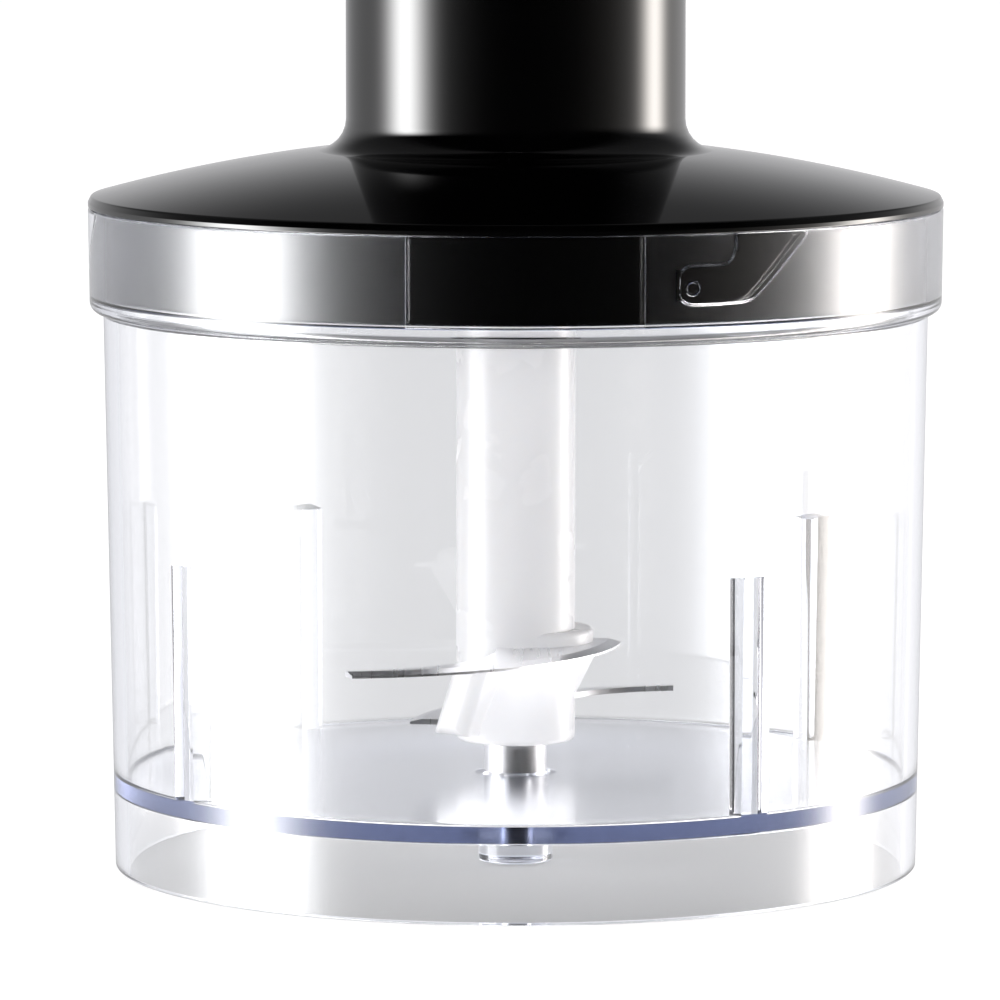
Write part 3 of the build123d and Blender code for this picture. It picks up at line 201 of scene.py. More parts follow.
def between(group, factor, low, high):
    """Map the middle of a noise's values to the range between two sockets."""
    ranged = group.nodes.new("ShaderNodeMapRange")
    ranged.inputs["From Min"].default_value = NOISE_LOW
    ranged.inputs["From Max"].default_value = NOISE_HIGH
    group.links.new(factor, ranged.inputs["Value"])
    group.links.new(low, ranged.inputs["To Min"])
    group.links.new(high, ranged.inputs["To Max"])
    return ranged.outputs["Result"]


smudges, given, out = new_group(
    "gloss_smudges",
    [("Scale", FLOAT, 40.0), ("Clean", FLOAT, 0.05), ("Smudged", FLOAT, 0.15)],
    [("Roughness", FLOAT)],
)
cloud = object_noise(smudges, given.outputs["Scale"], 6.0)
smudges.links.new(between(smudges, cloud, given.outputs["Clean"], given.outputs["Smudged"]), out.inputs[0])
print("group:", smudges.name)

# %% Tone that drifts, and the grain of satin mouldings
plain_grey = (0.5, 0.5, 0.5, 1)
drift, given, out = new_group(
    "tone_drift",
    [("Scale", FLOAT, 25.0), ("Tone", COLOUR, plain_grey), ("Other tone", COLOUR, plain_grey)],
    [("Colour", COLOUR)],
)
mix = drift.nodes.new("ShaderNodeMix")
mix.data_type = "RGBA"
drift.links.new(object_noise(drift, given.outputs["Scale"], 3.0), mix.inputs["Factor"])
drift.links.new(given.outputs["Tone"], mix.inputs["A"])
drift.links.new(given.outputs["Other tone"], mix.inputs["B"])
drift.links.new(mix.outputs["Result"], out.inputs[0])

grain, given, out = new_group("moulded_grain", [("Scale", FLOAT, 900.0)], [("Height", FLOAT)])
grain.links.new(object_noise(grain, given.outputs["Scale"], 2.0), out.inputs[0])
print("groups:", drift.name, grain.name)


# %% Lines that turning and grinding leave on metal
def line_group(name, scale, detail, stretch):
    """A group whose noise is stretched into lines, put out as roughness between two values and as height."""
    group, given, out = new_group(
        name,
        [("Scale", FLOAT, scale), ("Low", FLOAT, 0.1), ("High", FLOAT, 0.3)],
        [("Roughness", FLOAT), ("Height", FLOAT)],
    )
    lines = object_noise(group, given.outputs["Scale"], detail, stretch)
    group.links.new(between(group, lines, given.outputs["Low"], given.outputs["High"]), out.inputs[0])
    group.links.new(lines, out.inputs[1])
    return group


turning = line_group("turned_lines", 4000.0, 2.0, (0.01, 0.01, 1))
grinding = line_group("ground_lines", 900.0, 3.0, (1, 0.04, 0.04))
print("node groups:", [group.name for group in bpy.data.node_groups])


# %% [markdown]
# One function makes every material: a Principled shader with the tone drift on its colour, one of the
# groups on its roughness and, where the surface has a feel, a faint bump. A material could also be built
# by hand in the shader editor, but then eighteen of them would drift apart. What is the same all over the
# surface, such as metallic or the refractive index, is set on the shader's own sockets.

# %% One function for all the finishes
finishes = {}


def finish(name, tone, other, drift_scale, lay, lay_values, bump=0.0, bump_scale=None, **constant):
    """A material: drifting tone, roughness from the group called lay, bump from that group or from grain.

    The bump is in millimetres. Where it has a scale of its own, its height comes from the grain.
    """
    material = finishes[name] = bpy.data.materials.new(name)
    material.use_nodes = True
    tree = material.node_tree
    shader = tree.nodes["Principled BSDF"]
    for socket, value in constant.items():
        shader.inputs[socket.replace("_", " ")].default_value = value

    def place(group, values):
        """A node in this material that holds the group, with its inputs set in their order."""
        node = tree.nodes.new("ShaderNodeGroup")
        node.node_tree = group
        for socket, value in zip(node.inputs, values):
            socket.default_value = value
        return node

    colour = place(drift, (drift_scale, (*tone, 1), (*other, 1)))
    tree.links.new(colour.outputs["Colour"], shader.inputs["Base Color"])
    laid = place(lay, lay_values)
    tree.links.new(laid.outputs["Roughness"], shader.inputs["Roughness"])
    if bump:
        height = laid if bump_scale is None else place(grain, (bump_scale,))
        relief = tree.nodes.new("ShaderNodeBump")
        relief.inputs["Strength"].default_value = 1.0
        relief.inputs["Distance"].default_value = bump * MM
        tree.links.new(height.outputs["Height"], relief.inputs["Height"])
        tree.links.new(relief.outputs["Normal"], shader.inputs["Normal"])
    return material


slot_of = {part["node"]: part["material_slot"] for part in frame["record"]["subparts"]}
print("finishes to make:", sorted(set(slot_of.values())))

# %% [markdown]
# ## The clear bowl's plastic
# The bowl is a clear plastic that bends light about as much as window glass. Its faint blue tint shows
# only where the eye looks along a wall, as at the floor's edge. A tinted Base Color would tint thin and
# thick places alike. Volume absorption tints by the length of the way through the plastic, so the tint
# gathers in the edges by itself. The pads in the collar and the floor are a little matte, so the bowl's
# mesh will carry a number called matte at each point, and the roughness follows it.

# %% Clear plastic
TINT, TINT_DENSITY, MATTE_ROUGHNESS = (0.0, 0.1, 0.42, 1), 16.0, 0.32
clear = finish(
    "clear_plastic", (1.0, 1.0, 1.0), (0.985, 0.988, 0.995), 12, smudges, (30, 0.0, 0.012),
    Transmission_Weight=1.0, IOR=1.5,
)
clear_tree = clear.node_tree
clear_roughness = clear_tree.nodes["Principled BSDF"].inputs["Roughness"]
tint = clear_tree.nodes.new("ShaderNodeVolumeAbsorption")
tint.inputs["Color"].default_value = TINT
tint.inputs["Density"].default_value = TINT_DENSITY
clear_tree.links.new(tint.outputs["Volume"], clear_tree.nodes["Material Output"].inputs["Volume"])

matte_layer = clear_tree.nodes.new("ShaderNodeAttribute")
matte_layer.attribute_name = "matte"
matte_mix = clear_tree.nodes.new("ShaderNodeMix")
matte_mix.inputs["B"].default_value = MATTE_ROUGHNESS
clear_tree.links.new(matte_layer.outputs["Fac"], matte_mix.inputs["Factor"])
clear_tree.links.new(clear_roughness.links[0].from_socket, matte_mix.inputs["A"])
clear_tree.links.new(matte_mix.outputs["Result"], clear_roughness)
print("clear plastic, tint density:", TINT_DENSITY)

# %% [markdown]
# ## Black and white plastics
# The lid, the shells and the cap are gloss black, polished in the mould, and the mouldings inside are
# satin. Black plastic is darker than it seems, because most of what one sees of it is reflection. A
# brighter colour would make the white hub look painted. Light enters it a little, so it gets some
# subsurface scattering instead.

# %% Plastics
finish(
    "gloss_black", (0.0003, 0.0003, 0.0004), (0.0006, 0.0006, 0.0007), 60, smudges, (35, 0.05, 0.1),
    IOR=1.5,
)
finish(
    "satin_black", (0.016, 0.016, 0.017), (0.021, 0.021, 0.023), 50, smudges, (80, 0.36, 0.46),
    0.02, 1400,
)
finish(
    "hub_white", (0.93, 0.92, 0.91), (0.905, 0.895, 0.885), 40, smudges, (60, 0.26, 0.28), 0.004, 700,
    Subsurface_Weight=0.12, Subsurface_Radius=(1.0, 0.9, 0.8), Subsurface_Scale=0.002, IOR=1.49,
)
finish("gear_nylon", (0.76, 0.74, 0.67), (0.7, 0.68, 0.62), 90, smudges, (120, 0.38, 0.5), 0.01, 1200)
print("plastics made:", list(finishes))

# %% [markdown]
# ## Metals
# The blades are ground from end to end, so their lines run along them. The pin, the motor's core and the
# bushes are turned on a lathe, so theirs run round. An image of brushed metal would need a UV map for each
# piece. Noise that is stretched into lines needs nothing but the coordinates.

# %% Metals
finish(
    "blade_steel", (0.74, 0.74, 0.75), (0.66, 0.66, 0.67), 70, grinding, (1100, 0.27, 0.33), 0.0005,
    Metallic=1.0,
)
finish(
    "pin_steel", (0.72, 0.72, 0.73), (0.64, 0.64, 0.65), 60, turning, (5000, 0.34, 0.38), 0.0002,
    Metallic=1.0,
)
finish(
    "screw_steel", (0.5, 0.5, 0.51), (0.42, 0.42, 0.43), 150, smudges, (300, 0.22, 0.42), 0.004, 1500,
    Metallic=1.0,
)
finish(
    "core_steel", (0.36, 0.36, 0.37), (0.28, 0.28, 0.29), 80, turning, (2500, 0.3, 0.5), 0.01,
    Metallic=1.0,
)
finish(
    "bronze", (0.58, 0.4, 0.2), (0.48, 0.33, 0.17), 200, turning, (4000, 0.28, 0.45), 0.003,
    Metallic=1.0,
)
finish(
    "copper", (0.72, 0.33, 0.17), (0.6, 0.26, 0.13), 300, turning, (2600, 0.2, 0.38), 0.06,
    Metallic=1.0,
)
print("finishes so far:", len(finishes))

# %% [markdown]
# ## The rest
# Magnets, brushes, board and seals sit inside. One dark grey could serve for all of them, but whoever takes
# the shells off would see it, so each gets its own tone and grain. The hand touches the grip panel, the
# buttons and the dial. Panel and buttons are rubbery and hardly shine, which is a low specular level with
# a high roughness, and the dial is a finely blasted moulding with a little more gloss.

# %% Inner pieces and controls
finish("magnet", (0.1, 0.1, 0.105), (0.14, 0.14, 0.145), 150, smudges, (200, 0.5, 0.7), 0.02, 2000)
finish("carbon", (0.03, 0.03, 0.032), (0.05, 0.05, 0.052), 300, smudges, (300, 0.5, 0.75), 0.02, 2500)
finish("board_green", (0.02, 0.16, 0.06), (0.03, 0.21, 0.085), 350, smudges, (150, 0.25, 0.4), 0.01, 900)
finish(
    "seal_rubber", (0.024, 0.024, 0.025), (0.034, 0.034, 0.035), 120, smudges, (150, 0.6, 0.78),
    0.015, 1600,
)
finish(
    "soft_grip", (0.018, 0.018, 0.02), (0.024, 0.024, 0.027), 60, smudges, (90, 0.55, 0.68), 0.03, 2200,
    Specular_IOR_Level=0.2,
)
finish(
    "button_grey", (0.1, 0.1, 0.105), (0.12, 0.12, 0.126), 80, smudges, (110, 0.48, 0.6), 0.015, 1800,
    Specular_IOR_Level=0.25,
)
finish(
    "dial_black", (0.02, 0.02, 0.021), (0.027, 0.027, 0.029), 80, smudges, (100, 0.3, 0.42), 0.012, 1500,
)
for name, piece in nodes.items():
    for place in piece.material_slots:
        place.material = finishes[slot_of[name]]
print("materials:", len(finishes))

# %% [markdown]
# ## The bowl
# The bowl is one clear moulding: a drafted wall, a wider collar that takes the lid, a floor above a
# hollow foot, four short ribs inside the wall, and three shallow bayonet tracks inside the collar. These
# could be separate meshes that overlap, but in clear plastic light would meet a wall wherever they do. So
# the outline is turned into one grid, a single closed skin, which is then pushed in where a rib or a pad
# stands. Extra columns and rows lie right at those edges, and two bands of rows follow a track's sides.

# %% Sizes of the bowl, in millimetres
def box_of(node):
    """Lowest and highest corner of a machined piece, in millimetres."""
    return [np.round(np.array(corner) / MM, 3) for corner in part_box(node)]


bowl_box, pin_box = box_of("chop_bowl"), box_of("blade_pin")
COLLAR_R, BRIM = bowl_box[1][0], bowl_box[1][2]
COLLAR_IN, COLLAR_FOOT, LEDGE = 61.2, 82.4, 84.7
BRIM_ROUND, LEDGE_ROUND = 0.35, 0.25
WALL_TOP, WALL_LOW, WALL = 60.8, 59.4, 2.0
FLOOR, FLOOR_UNDER = 13.9, 11.6
PIN_R, PIN_GAP = 1.9, 0.02
PIN_HOLE, PIN_END = PIN_R + PIN_GAP, pin_box[0][2] - PIN_GAP
BOSS_R, BOSS_LOW = 5.5, 0.3
RIBS, RIB_FIRST, RIB_TOP, RIB_FACE = 4, -54.5, 48.3, 53.9
RIB_HALF, RIB_ROUND, RIB_TOP_EDGE, RIB_FOOT = 2.0, 0.9, 0.4, 2.0
PADS, PAD_FIRST, PAD_BEFORE, PAD_AFTER, PAD_T = 3, -58.0, 15.0, 73.4, 0.8
TRACK_LOW, TRACK_HIGH, POCKET = 88.0, 93.0, -11.3
ENTRY, ENTRY_ROUND = -2.3, 2.0
RAMP_START, RAMP_END, RAMP_ROUND, RAMP_TAIL = 0.8, 11.2, 1.2, -4.0
TURN_STEP = 1.25
STEP = 0.14
EDGE = 0.55
EDGE_STEPS = np.array([0, 0.1, 0.3, 0.5, 0.7, 0.9, 1])


def wall(z):
    """Outer radius of the bowl's drafted wall at a height: a straight line between table and collar."""
    return WALL_LOW + (WALL_TOP - WALL_LOW) * z / COLLAR_FOOT


print("the wall's radius at the floor:", round(wall(FLOOR), 2), "mm")

# %% Columns: an even turn, with more of them at the edges of ribs and pads
POCKET_STEPS, ENTRY_STEPS, RAMP_STEP, LEAST_TURN = 10, 8, 0.6, 0.02
COLUMN_DIGITS, COLUMN_ERROR = 3, 1e-3


def turn_columns(first, count, offsets):
    """Angles, in degrees, of an even turn and of offsets from each of several features round it."""
    features = first + np.arange(count)[:, None] * 360 / count + offsets
    return np.concatenate([np.arange(0, 360, TURN_STEP), features.ravel()])


def tidy_columns(angles):
    """Sorted angles within one turn, without those that nearly coincide."""
    angles = np.unique(np.round(angles % 360, COLUMN_DIGITS))
    return angles[np.diff(angles, prepend=angles[0] - 1) > LEAST_TURN]


# Distances in from a rib's side, which lie closer together on its rounding.
from_rib_side = np.array([RIB_HALF, 1.05, RIB_ROUND, 0.75, 0.55, 0.35, 0.18, 0.06, 0, -STEP, -2 * STEP])
rib_marks = np.concatenate([from_rib_side - RIB_HALF, RIB_HALF - from_rib_side])

# Places along the collar from each pad's own angle: the pocket's end, the entry, the ramp and the pad's ends.
pocket_r = (TRACK_HIGH - TRACK_LOW) / 2
edges = EDGE * EDGE_STEPS
pocket_end = POCKET + pocket_r - pocket_r * np.cos(np.linspace(0, np.pi / 2, POCKET_STEPS))
entry_corner = ENTRY - ENTRY_ROUND + ENTRY_ROUND * np.sin(np.linspace(0, np.pi / 2, ENTRY_STEPS))
ramp_marks = np.arange(-2 * RAMP_STEP, RAMP_END + 1, RAMP_STEP)
pad_start, pad_end = -radians(PAD_BEFORE) * COLLAR_IN, radians(PAD_AFTER) * COLLAR_IN
along_marks = [pocket_end, POCKET + edges, [POCKET - GUARD]]
along_marks += [entry_corner, ENTRY + edges, [ENTRY + EDGE + GUARD], ramp_marks]
along_marks += [pad_start + STEP * np.arange(-1, 3), pad_end + STEP * np.arange(-2, 2)]
along_marks = np.concatenate(along_marks)

rib_columns = turn_columns(RIB_FIRST, RIBS, np.degrees(rib_marks / RIB_FACE))
pad_columns = turn_columns(PAD_FIRST, PADS, np.degrees(along_marks / COLLAR_IN))
columns = tidy_columns(np.concatenate([rib_columns, pad_columns]))
print("columns of the bowl:", len(columns))

# %% Rows: the closed outline from the pin's hole over the brim and back under the floor
# A row in the middle of a straight stretch only keeps its faces short.
outline = rounded_outline(
    [
        (0, PIN_END, 0),
        (PIN_HOLE, PIN_END, 0),
        (PIN_HOLE, FLOOR, 0.1),
        (20, FLOOR, 0),
        (50, FLOOR, 0),
        (wall(FLOOR) - WALL, FLOOR, 0.6),
        (wall(30) - WALL, 30, 0),
        (wall(RIB_TOP - RIB_TOP_EDGE) - WALL, RIB_TOP - RIB_TOP_EDGE, 0),
        (wall(RIB_TOP) - WALL, RIB_TOP, 0),
        (wall(66) - WALL, 66, 0),
        (WALL_TOP - WALL, LEDGE, 0.5),
        (COLLAR_IN, LEDGE, LEDGE_ROUND),
        (COLLAR_IN, BRIM, BRIM_ROUND),
        (COLLAR_R, BRIM, 0.45),
        (COLLAR_R - 0.2, COLLAR_FOOT, 1.5),
        (WALL_TOP, COLLAR_FOOT, 0.5),
        (wall(50), 50, 0),
        (wall(20), 20, 0),
        (WALL_LOW, 0, 0.45),
        (WALL_LOW - WALL, 0, 0.45),
        (wall(FLOOR_UNDER) - WALL, FLOOR_UNDER, 0.25),
        (40, FLOOR_UNDER, 0),
        (BOSS_R, FLOOR_UNDER, 0.6),
        (BOSS_R, BOSS_LOW, 0.5),
        (0, BOSS_LOW, 0),
    ]
)
side_rows = len(EDGE_STEPS) + 2
on_collar = np.abs(outline[:, 0] - COLLAR_IN) < TINY
below_track = np.flatnonzero(on_collar & (outline[:, 1] < TRACK_LOW))[-1]
outline = np.insert(outline, [below_track + 1] * 2 * side_rows, (COLLAR_IN, TRACK_LOW), axis=0)
low_rows = below_track + 1 + np.arange(side_rows)
high_rows = low_rows + side_rows
order = np.arange(len(outline))
radius = np.repeat(outline[:, :1], len(columns), axis=1)
height = np.repeat(outline[:, 1:], len(columns), axis=1)
print("rows of the bowl:", len(outline))


# %% [markdown]
# The ribs and the bayonet are pushes on that grid. A rib takes every point of the wall below its top and
# brings it in to the rib's face. A pad is 0.8 mm of extra thickness inside the collar, and the track is
# where the pad is missing: a pocket with a round end, a way in from the brim, and a ramp that lifts the
# lid when it is turned open. A Boolean could cut all this, but it would leave long thin faces that show
# in clear plastic.

# %% Press the ribs
def turn_off(angle, first, count, before=None):
    """Signed angle, in degrees, from the feature that is nearest, or that starts the given angle before."""
    pitch = 360 / count
    before = pitch / 2 if before is None else before
    return (angle - first + before) % pitch - before


beside_rib = np.abs(radians(1) * turn_off(columns, RIB_FIRST, RIBS)) * RIB_FACE
into_edge = np.clip((beside_rib - RIB_HALF + RIB_ROUND) / RIB_ROUND, 0, 1)
rib_depth = RIB_ROUND * (1 - np.sqrt(1 - into_edge ** 2))
on_rib = beside_rib <= RIB_HALF + COLUMN_ERROR
rib_face = np.where(on_rib, RIB_FACE + rib_depth, COLLAR_R)
pressed = (order < below_track)[:, None] & (height > FLOOR - TINY) & (radius > RIB_FACE - RIB_FOOT)
pressed &= height < RIB_TOP - RIB_TOP_EDGE / 2
radius = np.where(pressed, np.minimum(radius, rib_face), radius)
print("points pressed towards a rib's face:", int((pressed & (rib_face < COLLAR_R)).sum()))


# %% The track's lower and upper side at each column
def soft_step(value):
    """A step from 0 to 1 with round corners: 3 v^2 - 2 v^3 between 0 and 1."""
    value = np.clip(value, 0, 1)
    return value * value * (3 - 2 * value)


along = radians(1) * turn_off(columns, PAD_FIRST, PADS, PAD_BEFORE) * COLLAR_IN
on_pad = soft_step((along - pad_start) / STEP) * soft_step((pad_end - along) / STEP)

# The pocket ends in a half circle about the point where both sides are pocket_r away from the middle.
middle = (TRACK_LOW + TRACK_HIGH) / 2
before_end = np.clip(POCKET + pocket_r - along, 0, None)
round_end = np.sqrt(np.clip(pocket_r ** 2 - before_end ** 2, 0, None))
low = np.where(before_end > 0, middle - round_end, TRACK_LOW)
high = np.where(before_end > 0, middle + round_end, TRACK_HIGH)

# The lower side goes over into the ramp along a hyperbola, and the upper side ends in a quarter circle.
ramp = along - RAMP_START
slope = (BRIM - TRACK_LOW) / (RAMP_END - RAMP_START)
low = low + np.where(along > RAMP_TAIL, slope * (np.sqrt(ramp ** 2 + RAMP_ROUND ** 2) + ramp) / 2, 0)
into_entry = np.clip(along - ENTRY + ENTRY_ROUND, 0, ENTRY_ROUND)
high = high + ENTRY_ROUND - np.sqrt(ENTRY_ROUND ** 2 - into_entry ** 2)
print("columns on a pad:", int((on_pad > 0).sum()))

# %% Follow the track with rows, and thicken the pad around it
BRIM_EDGE, TOP_ROW, TOP_ROW_STEP, ROW_APART, SLACK = 0.4, 0.5, 0.03, 0.02, 0.01
FLOOR_MATTE = 0.5

is_track = soft_step((along - POCKET) / EDGE) * soft_step((BRIM - BRIM_EDGE - low) / EDGE)
is_open = soft_step((along - ENTRY) / EDGE)
off_edge = np.concatenate([[-GUARD], edges, [EDGE + GUARD]])[:, None]
apart = low + GUARD + ROW_APART * np.arange(1, side_rows + 1)[:, None]
sides = np.concatenate([low - off_edge[::-1], np.maximum(high + off_edge, apart)])
ceiling = BRIM - TOP_ROW - TOP_ROW_STEP * np.arange(2 * side_rows)[::-1, None]
height[low_rows[0] : high_rows[-1] + 1] = np.minimum(sides, ceiling)

foot_corner, brim_corner = LEDGE_ROUND + GUARD + SLACK, BRIM_ROUND + GUARD + SLACK
on_foot = (order <= below_track) & (outline[:, 1] < LEDGE + foot_corner)
on_foot &= outline[:, 0] > COLLAR_IN - LEDGE_ROUND - SLACK
on_brim = (order > high_rows[-1]) & (outline[:, 1] > BRIM - brim_corner)
on_brim &= outline[:, 0] < COLLAR_IN + BRIM_ROUND + SLACK
step = soft_step(off_edge / EDGE)
thick = np.zeros(radius.shape)
thick[on_foot] = 1
thick[low_rows] = 1 - (1 - step[::-1]) * is_track
thick[high_rows] = 1 - is_track * np.maximum(1 - step, is_open)
thick[on_brim] = 1 - is_track * is_open
radius = radius - PAD_T * thick * on_pad
on_floor = (order < below_track)[:, None] & (np.abs(height - FLOOR) < SLACK) & (radius < RIB_FACE)

bowl = make_piece(
    "clear_bowl",
    turned(radius, height, np.radians(columns)[None, :]),
    quads(len(outline), len(columns)),
    clear, "bowl", matte=np.where(on_floor, FLOOR_MATTE, thick * on_pad),
)
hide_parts("chop_bowl")

# %% [markdown]
# Each pocket has a small ring near its round end, where the lid's catch snaps in. Blender's own torus
# would have to be moved and turned for each pocket, and its mesh applied. Worked out in place it is short:
# a circle of points is carried round a second circle that stands on the collar's inner face.

# %% Snap rings in the bayonet pockets
RING_R, RING_T, RING_ALONG, RING_Z, RING_SINK = 0.95, 0.24, -9.0, 90.1, 0.1
RING_STEPS, RING_SIDES = 28, 12


def snap_ring(turn):
    """A torus, in metres, whose axis points outwards at an angle.

    Its points are centre + (R + t cos v)(side cos u + up sin u) + t sin v out, for u round the ring and v
    round its section.
    """
    out_way = np.array([np.cos(turn), np.sin(turn), 0.0])
    side_way = np.array([-np.sin(turn), np.cos(turn), 0.0])
    up_way = np.array([0, 0, 1.0])
    u = np.linspace(0, 2 * np.pi, RING_STEPS, endpoint=False)[:, None, None]
    v = np.linspace(0, 2 * np.pi, RING_SIDES, endpoint=False)[None, :, None]
    centre = (COLLAR_IN - RING_SINK) * out_way + RING_Z * up_way
    reach = (RING_R + RING_T * np.cos(v)) * (np.cos(u) * side_way + np.sin(u) * up_way)
    return (centre + reach + RING_T * np.sin(v) * out_way) * MM


ring_turns = np.radians(PAD_FIRST + np.arange(PADS) * 360 / PADS) + RING_ALONG / COLLAR_IN
rings = np.stack([snap_ring(turn) for turn in ring_turns])
ring_faces = repeated(quads(RING_STEPS, RING_SIDES, wrap_rows=True), PADS, RING_STEPS * RING_SIDES)
make_piece("snap_rings", rings, ring_faces[:, ::-1], clear, "bowl")

# %% [markdown]
# ## The lid
# The lid is gloss black: a shallow dome, a neck that takes the motor unit, and a skirt with three lugs
# inside the bowl's collar. A Bevel modifier could soften the machined lid, but gloss black shows every
# facet, so the lid is turned from an outline like the bowl, with many columns. The dome is a straight slope
# with a slight crown, and the foot of the neck is a generous round.

# %% Sizes and outline of the lid, in millimetres
lid_box, gear_box, plate_box = box_of("lid_shell"), box_of("ring_gear"), box_of("lid_plate")
RIM_Z, RIM_TOP, RIM_EDGE, DOME_TOP, NECK_TOP = 97.8, 99.4, 0.9, 106.5, lid_box[1][2]
NECK_R, NECK_IN, NECK_ROUND = 25.0, 22.5, 4.7
DOME_EDGE, DOME_CROWN, DOME_START, DOME_STEPS, LID_WALL = 62.55, 0.8, 0.18, 22, 2.4
PLATE_GAP, GEAR_GAP = 0.2, 0.1
SKIRT_R, SKIRT_IN, SKIRT_LOW = 59.9, plate_box[1][0] + PLATE_GAP, lid_box[0][2]
CAVITY_R, POCKET_WALL, GEAR_POCKET = 55.0, 30.05, gear_box[1][0] + GEAR_GAP
PLATE_TOP, WEB_LOW, WEB_TOP, BUSH_R = gear_box[0][2], gear_box[1][2], 104.2, 5.95
GROOVE_R, GROOVE_LOW, GROOVE_HIGH = 23.85, 120.1, 124.5
LUGS, LUG_LOW, LUG_HIGH, LUG_HALF, LUG_R, LUG_ALONG = 3, 88.4, 92.6, 2.0, 61.0, -9.0


def under_dome(radius):
    """Height of the dome's underside: the straight slope between rim and neck, less the lid's wall."""
    slope = (DOME_TOP - RIM_TOP) / (DOME_EDGE - NECK_R)
    return RIM_TOP - LID_WALL + slope * (DOME_EDGE - radius)


# The crown is a parabola, 4 c s (1 - s), on the slope from the neck, s = 0, to the rim, s = 1.
share = np.linspace(DOME_START, 1, DOME_STEPS)
dome_r = NECK_R + (DOME_EDGE - NECK_R) * share
dome_z = DOME_TOP + (RIM_TOP - DOME_TOP) * share + 4 * DOME_CROWN * share * (1 - share)
dome = np.stack([dome_r, dome_z, np.where(share < 1, 0, 0.45)], -1)
lid_outline = rounded_outline(
    [
        (NECK_R, NECK_TOP, 0.35),
        (NECK_R, DOME_TOP, NECK_ROUND),
        *dome.tolist(),
        (COLLAR_R, RIM_TOP - RIM_EDGE, 0.25),
        (COLLAR_R, RIM_Z, 0.2),
        (SKIRT_R, RIM_Z, 0.15),
        (SKIRT_R, LUG_HIGH + STEP, 0),
        (SKIRT_R, LUG_HIGH, 0),
        (SKIRT_R, LUG_LOW, 0),
        (SKIRT_R, LUG_LOW - STEP, 0),
        (SKIRT_R, SKIRT_LOW, 0.4),
        (SKIRT_IN, SKIRT_LOW, 0.4),
        (SKIRT_IN, PLATE_TOP, 0),
        (CAVITY_R, PLATE_TOP, 0),
        (CAVITY_R, under_dome(CAVITY_R), 0),
        (POCKET_WALL, under_dome(POCKET_WALL), 0),
        (POCKET_WALL, PLATE_TOP, 0),
        (GEAR_POCKET, PLATE_TOP, 0),
        (GEAR_POCKET, WEB_LOW, 0),
        (BUSH_R, WEB_LOW, 0),
        (BUSH_R, WEB_TOP, 0),
        (NECK_IN, WEB_TOP, 0),
        (NECK_IN, GROOVE_LOW, 0),
        (GROOVE_R, GROOVE_LOW, 0),
        (GROOVE_R, GROOVE_HIGH, 0),
        (NECK_IN, GROOVE_HIGH, 0),
        (NECK_IN, NECK_TOP, 0.35),
    ]
)
lug_marks = np.array([-LUG_HALF - STEP, -LUG_HALF, LUG_HALF, LUG_HALF + STEP]) + LUG_ALONG
lid_columns = tidy_columns(turn_columns(PAD_FIRST, LUGS, np.degrees(lug_marks / SKIRT_R)))
print("rows and columns of the lid:", len(lid_outline), len(lid_columns))

# %% Push out the lugs and make the lid
lug_turn = radians(1) * turn_off(lid_columns, PAD_FIRST, LUGS) * SKIRT_R - LUG_ALONG
lug_row = (np.abs(lid_outline[:, 0] - SKIRT_R) < TINY) & (lid_outline[:, 1] > LUG_LOW - TINY)
lug_row &= lid_outline[:, 1] < LUG_HIGH + TINY
on_lug = lug_row[:, None] & (np.abs(lug_turn) < LUG_HALF + SLACK)
lid_radius = np.where(on_lug, LUG_R, lid_outline[:, :1])
lid = make_piece(
    "gloss_lid",
    turned(lid_radius, lid_outline[:, 1:], np.radians(lid_columns)[None, :]),
    quads(len(lid_outline), len(lid_columns), wrap_rows=True),
    finishes["gloss_black"], "lid",
)
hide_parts("lid_shell")

# %% [markdown]
# ## Marks on the hand unit
# A speed dial needs a pointer and a row of marks that grow with the speed, and two buttons that are found
# by touch carry one dot and two dots. Print could be painted in a material, but it would have no edge to
# catch the light. On the real object such marks are moulded through in a second plastic and stand a
# fraction of a millimetre proud, so each one is a small bar with round ends and a rounded rim.

# %% A raised bar with round ends
MARK_PROUD, MARK_SINK, MARK_ROUND = 0.25, 0.2, 0.15
END_STEPS, RIM_STEPS = 13, 5


def raised_bar(middle, along, up, length, half_width):
    """A low bar with round ends, in metres; a length of 0 gives a dot.

    Half a turn of points goes round each end of the middle line. The rim's section, a quarter circle between
    top and side, is carried along that path, and top and underside close on the middle line.
    """
    along, up = np.array(along, float), np.array(up, float)
    side = np.cross(up, along)
    turn = np.linspace(-np.pi / 2, np.pi / 2, END_STEPS)
    turn = np.concatenate([turn, turn + np.pi])
    end = np.repeat([length / 2, -length / 2], END_STEPS)
    bend = np.linspace(np.pi / 2, 0, RIM_STEPS)
    reach = half_width - MARK_ROUND + MARK_ROUND * np.cos(bend)
    reach = np.concatenate([[0], reach, [half_width, 0]])[:, None]
    rise = MARK_PROUD - MARK_ROUND + MARK_ROUND * np.sin(bend)
    rise = np.concatenate([[MARK_PROUD], rise, [-MARK_SINK, -MARK_SINK]])[:, None, None]
    forward, aside = end + reach * np.cos(turn), reach * np.sin(turn)
    return (np.array(middle) + forward[..., None] * along + aside[..., None] * side + rise * up) * MM


def make_marks(name, bars, body):
    """Join bars, which all have the same grid, into one white piece."""
    bars = np.stack(bars)
    count, rows, columns = bars.shape[:3]
    faces = repeated(quads(rows, columns), count, rows * columns)
    return make_piece(name, bars, faces, finishes["hub_white"], body)


print("a mark stands", MARK_PROUD, "mm proud")

# %% Pointer on the dial and marks on the cap
SPEED_MARKS, FIRST_MARK, LAST_MARK = 10, -135.0, -405.0
POINTER_IN, POINTER_OUT, POINTER_HALF = 5.0, 12.0, 0.7
MARK_MIDDLE, MARK_LENGTH, MARK_HALF = 16.5, 2.6, (0.28, 0.75)
UP = (0, 0, 1)

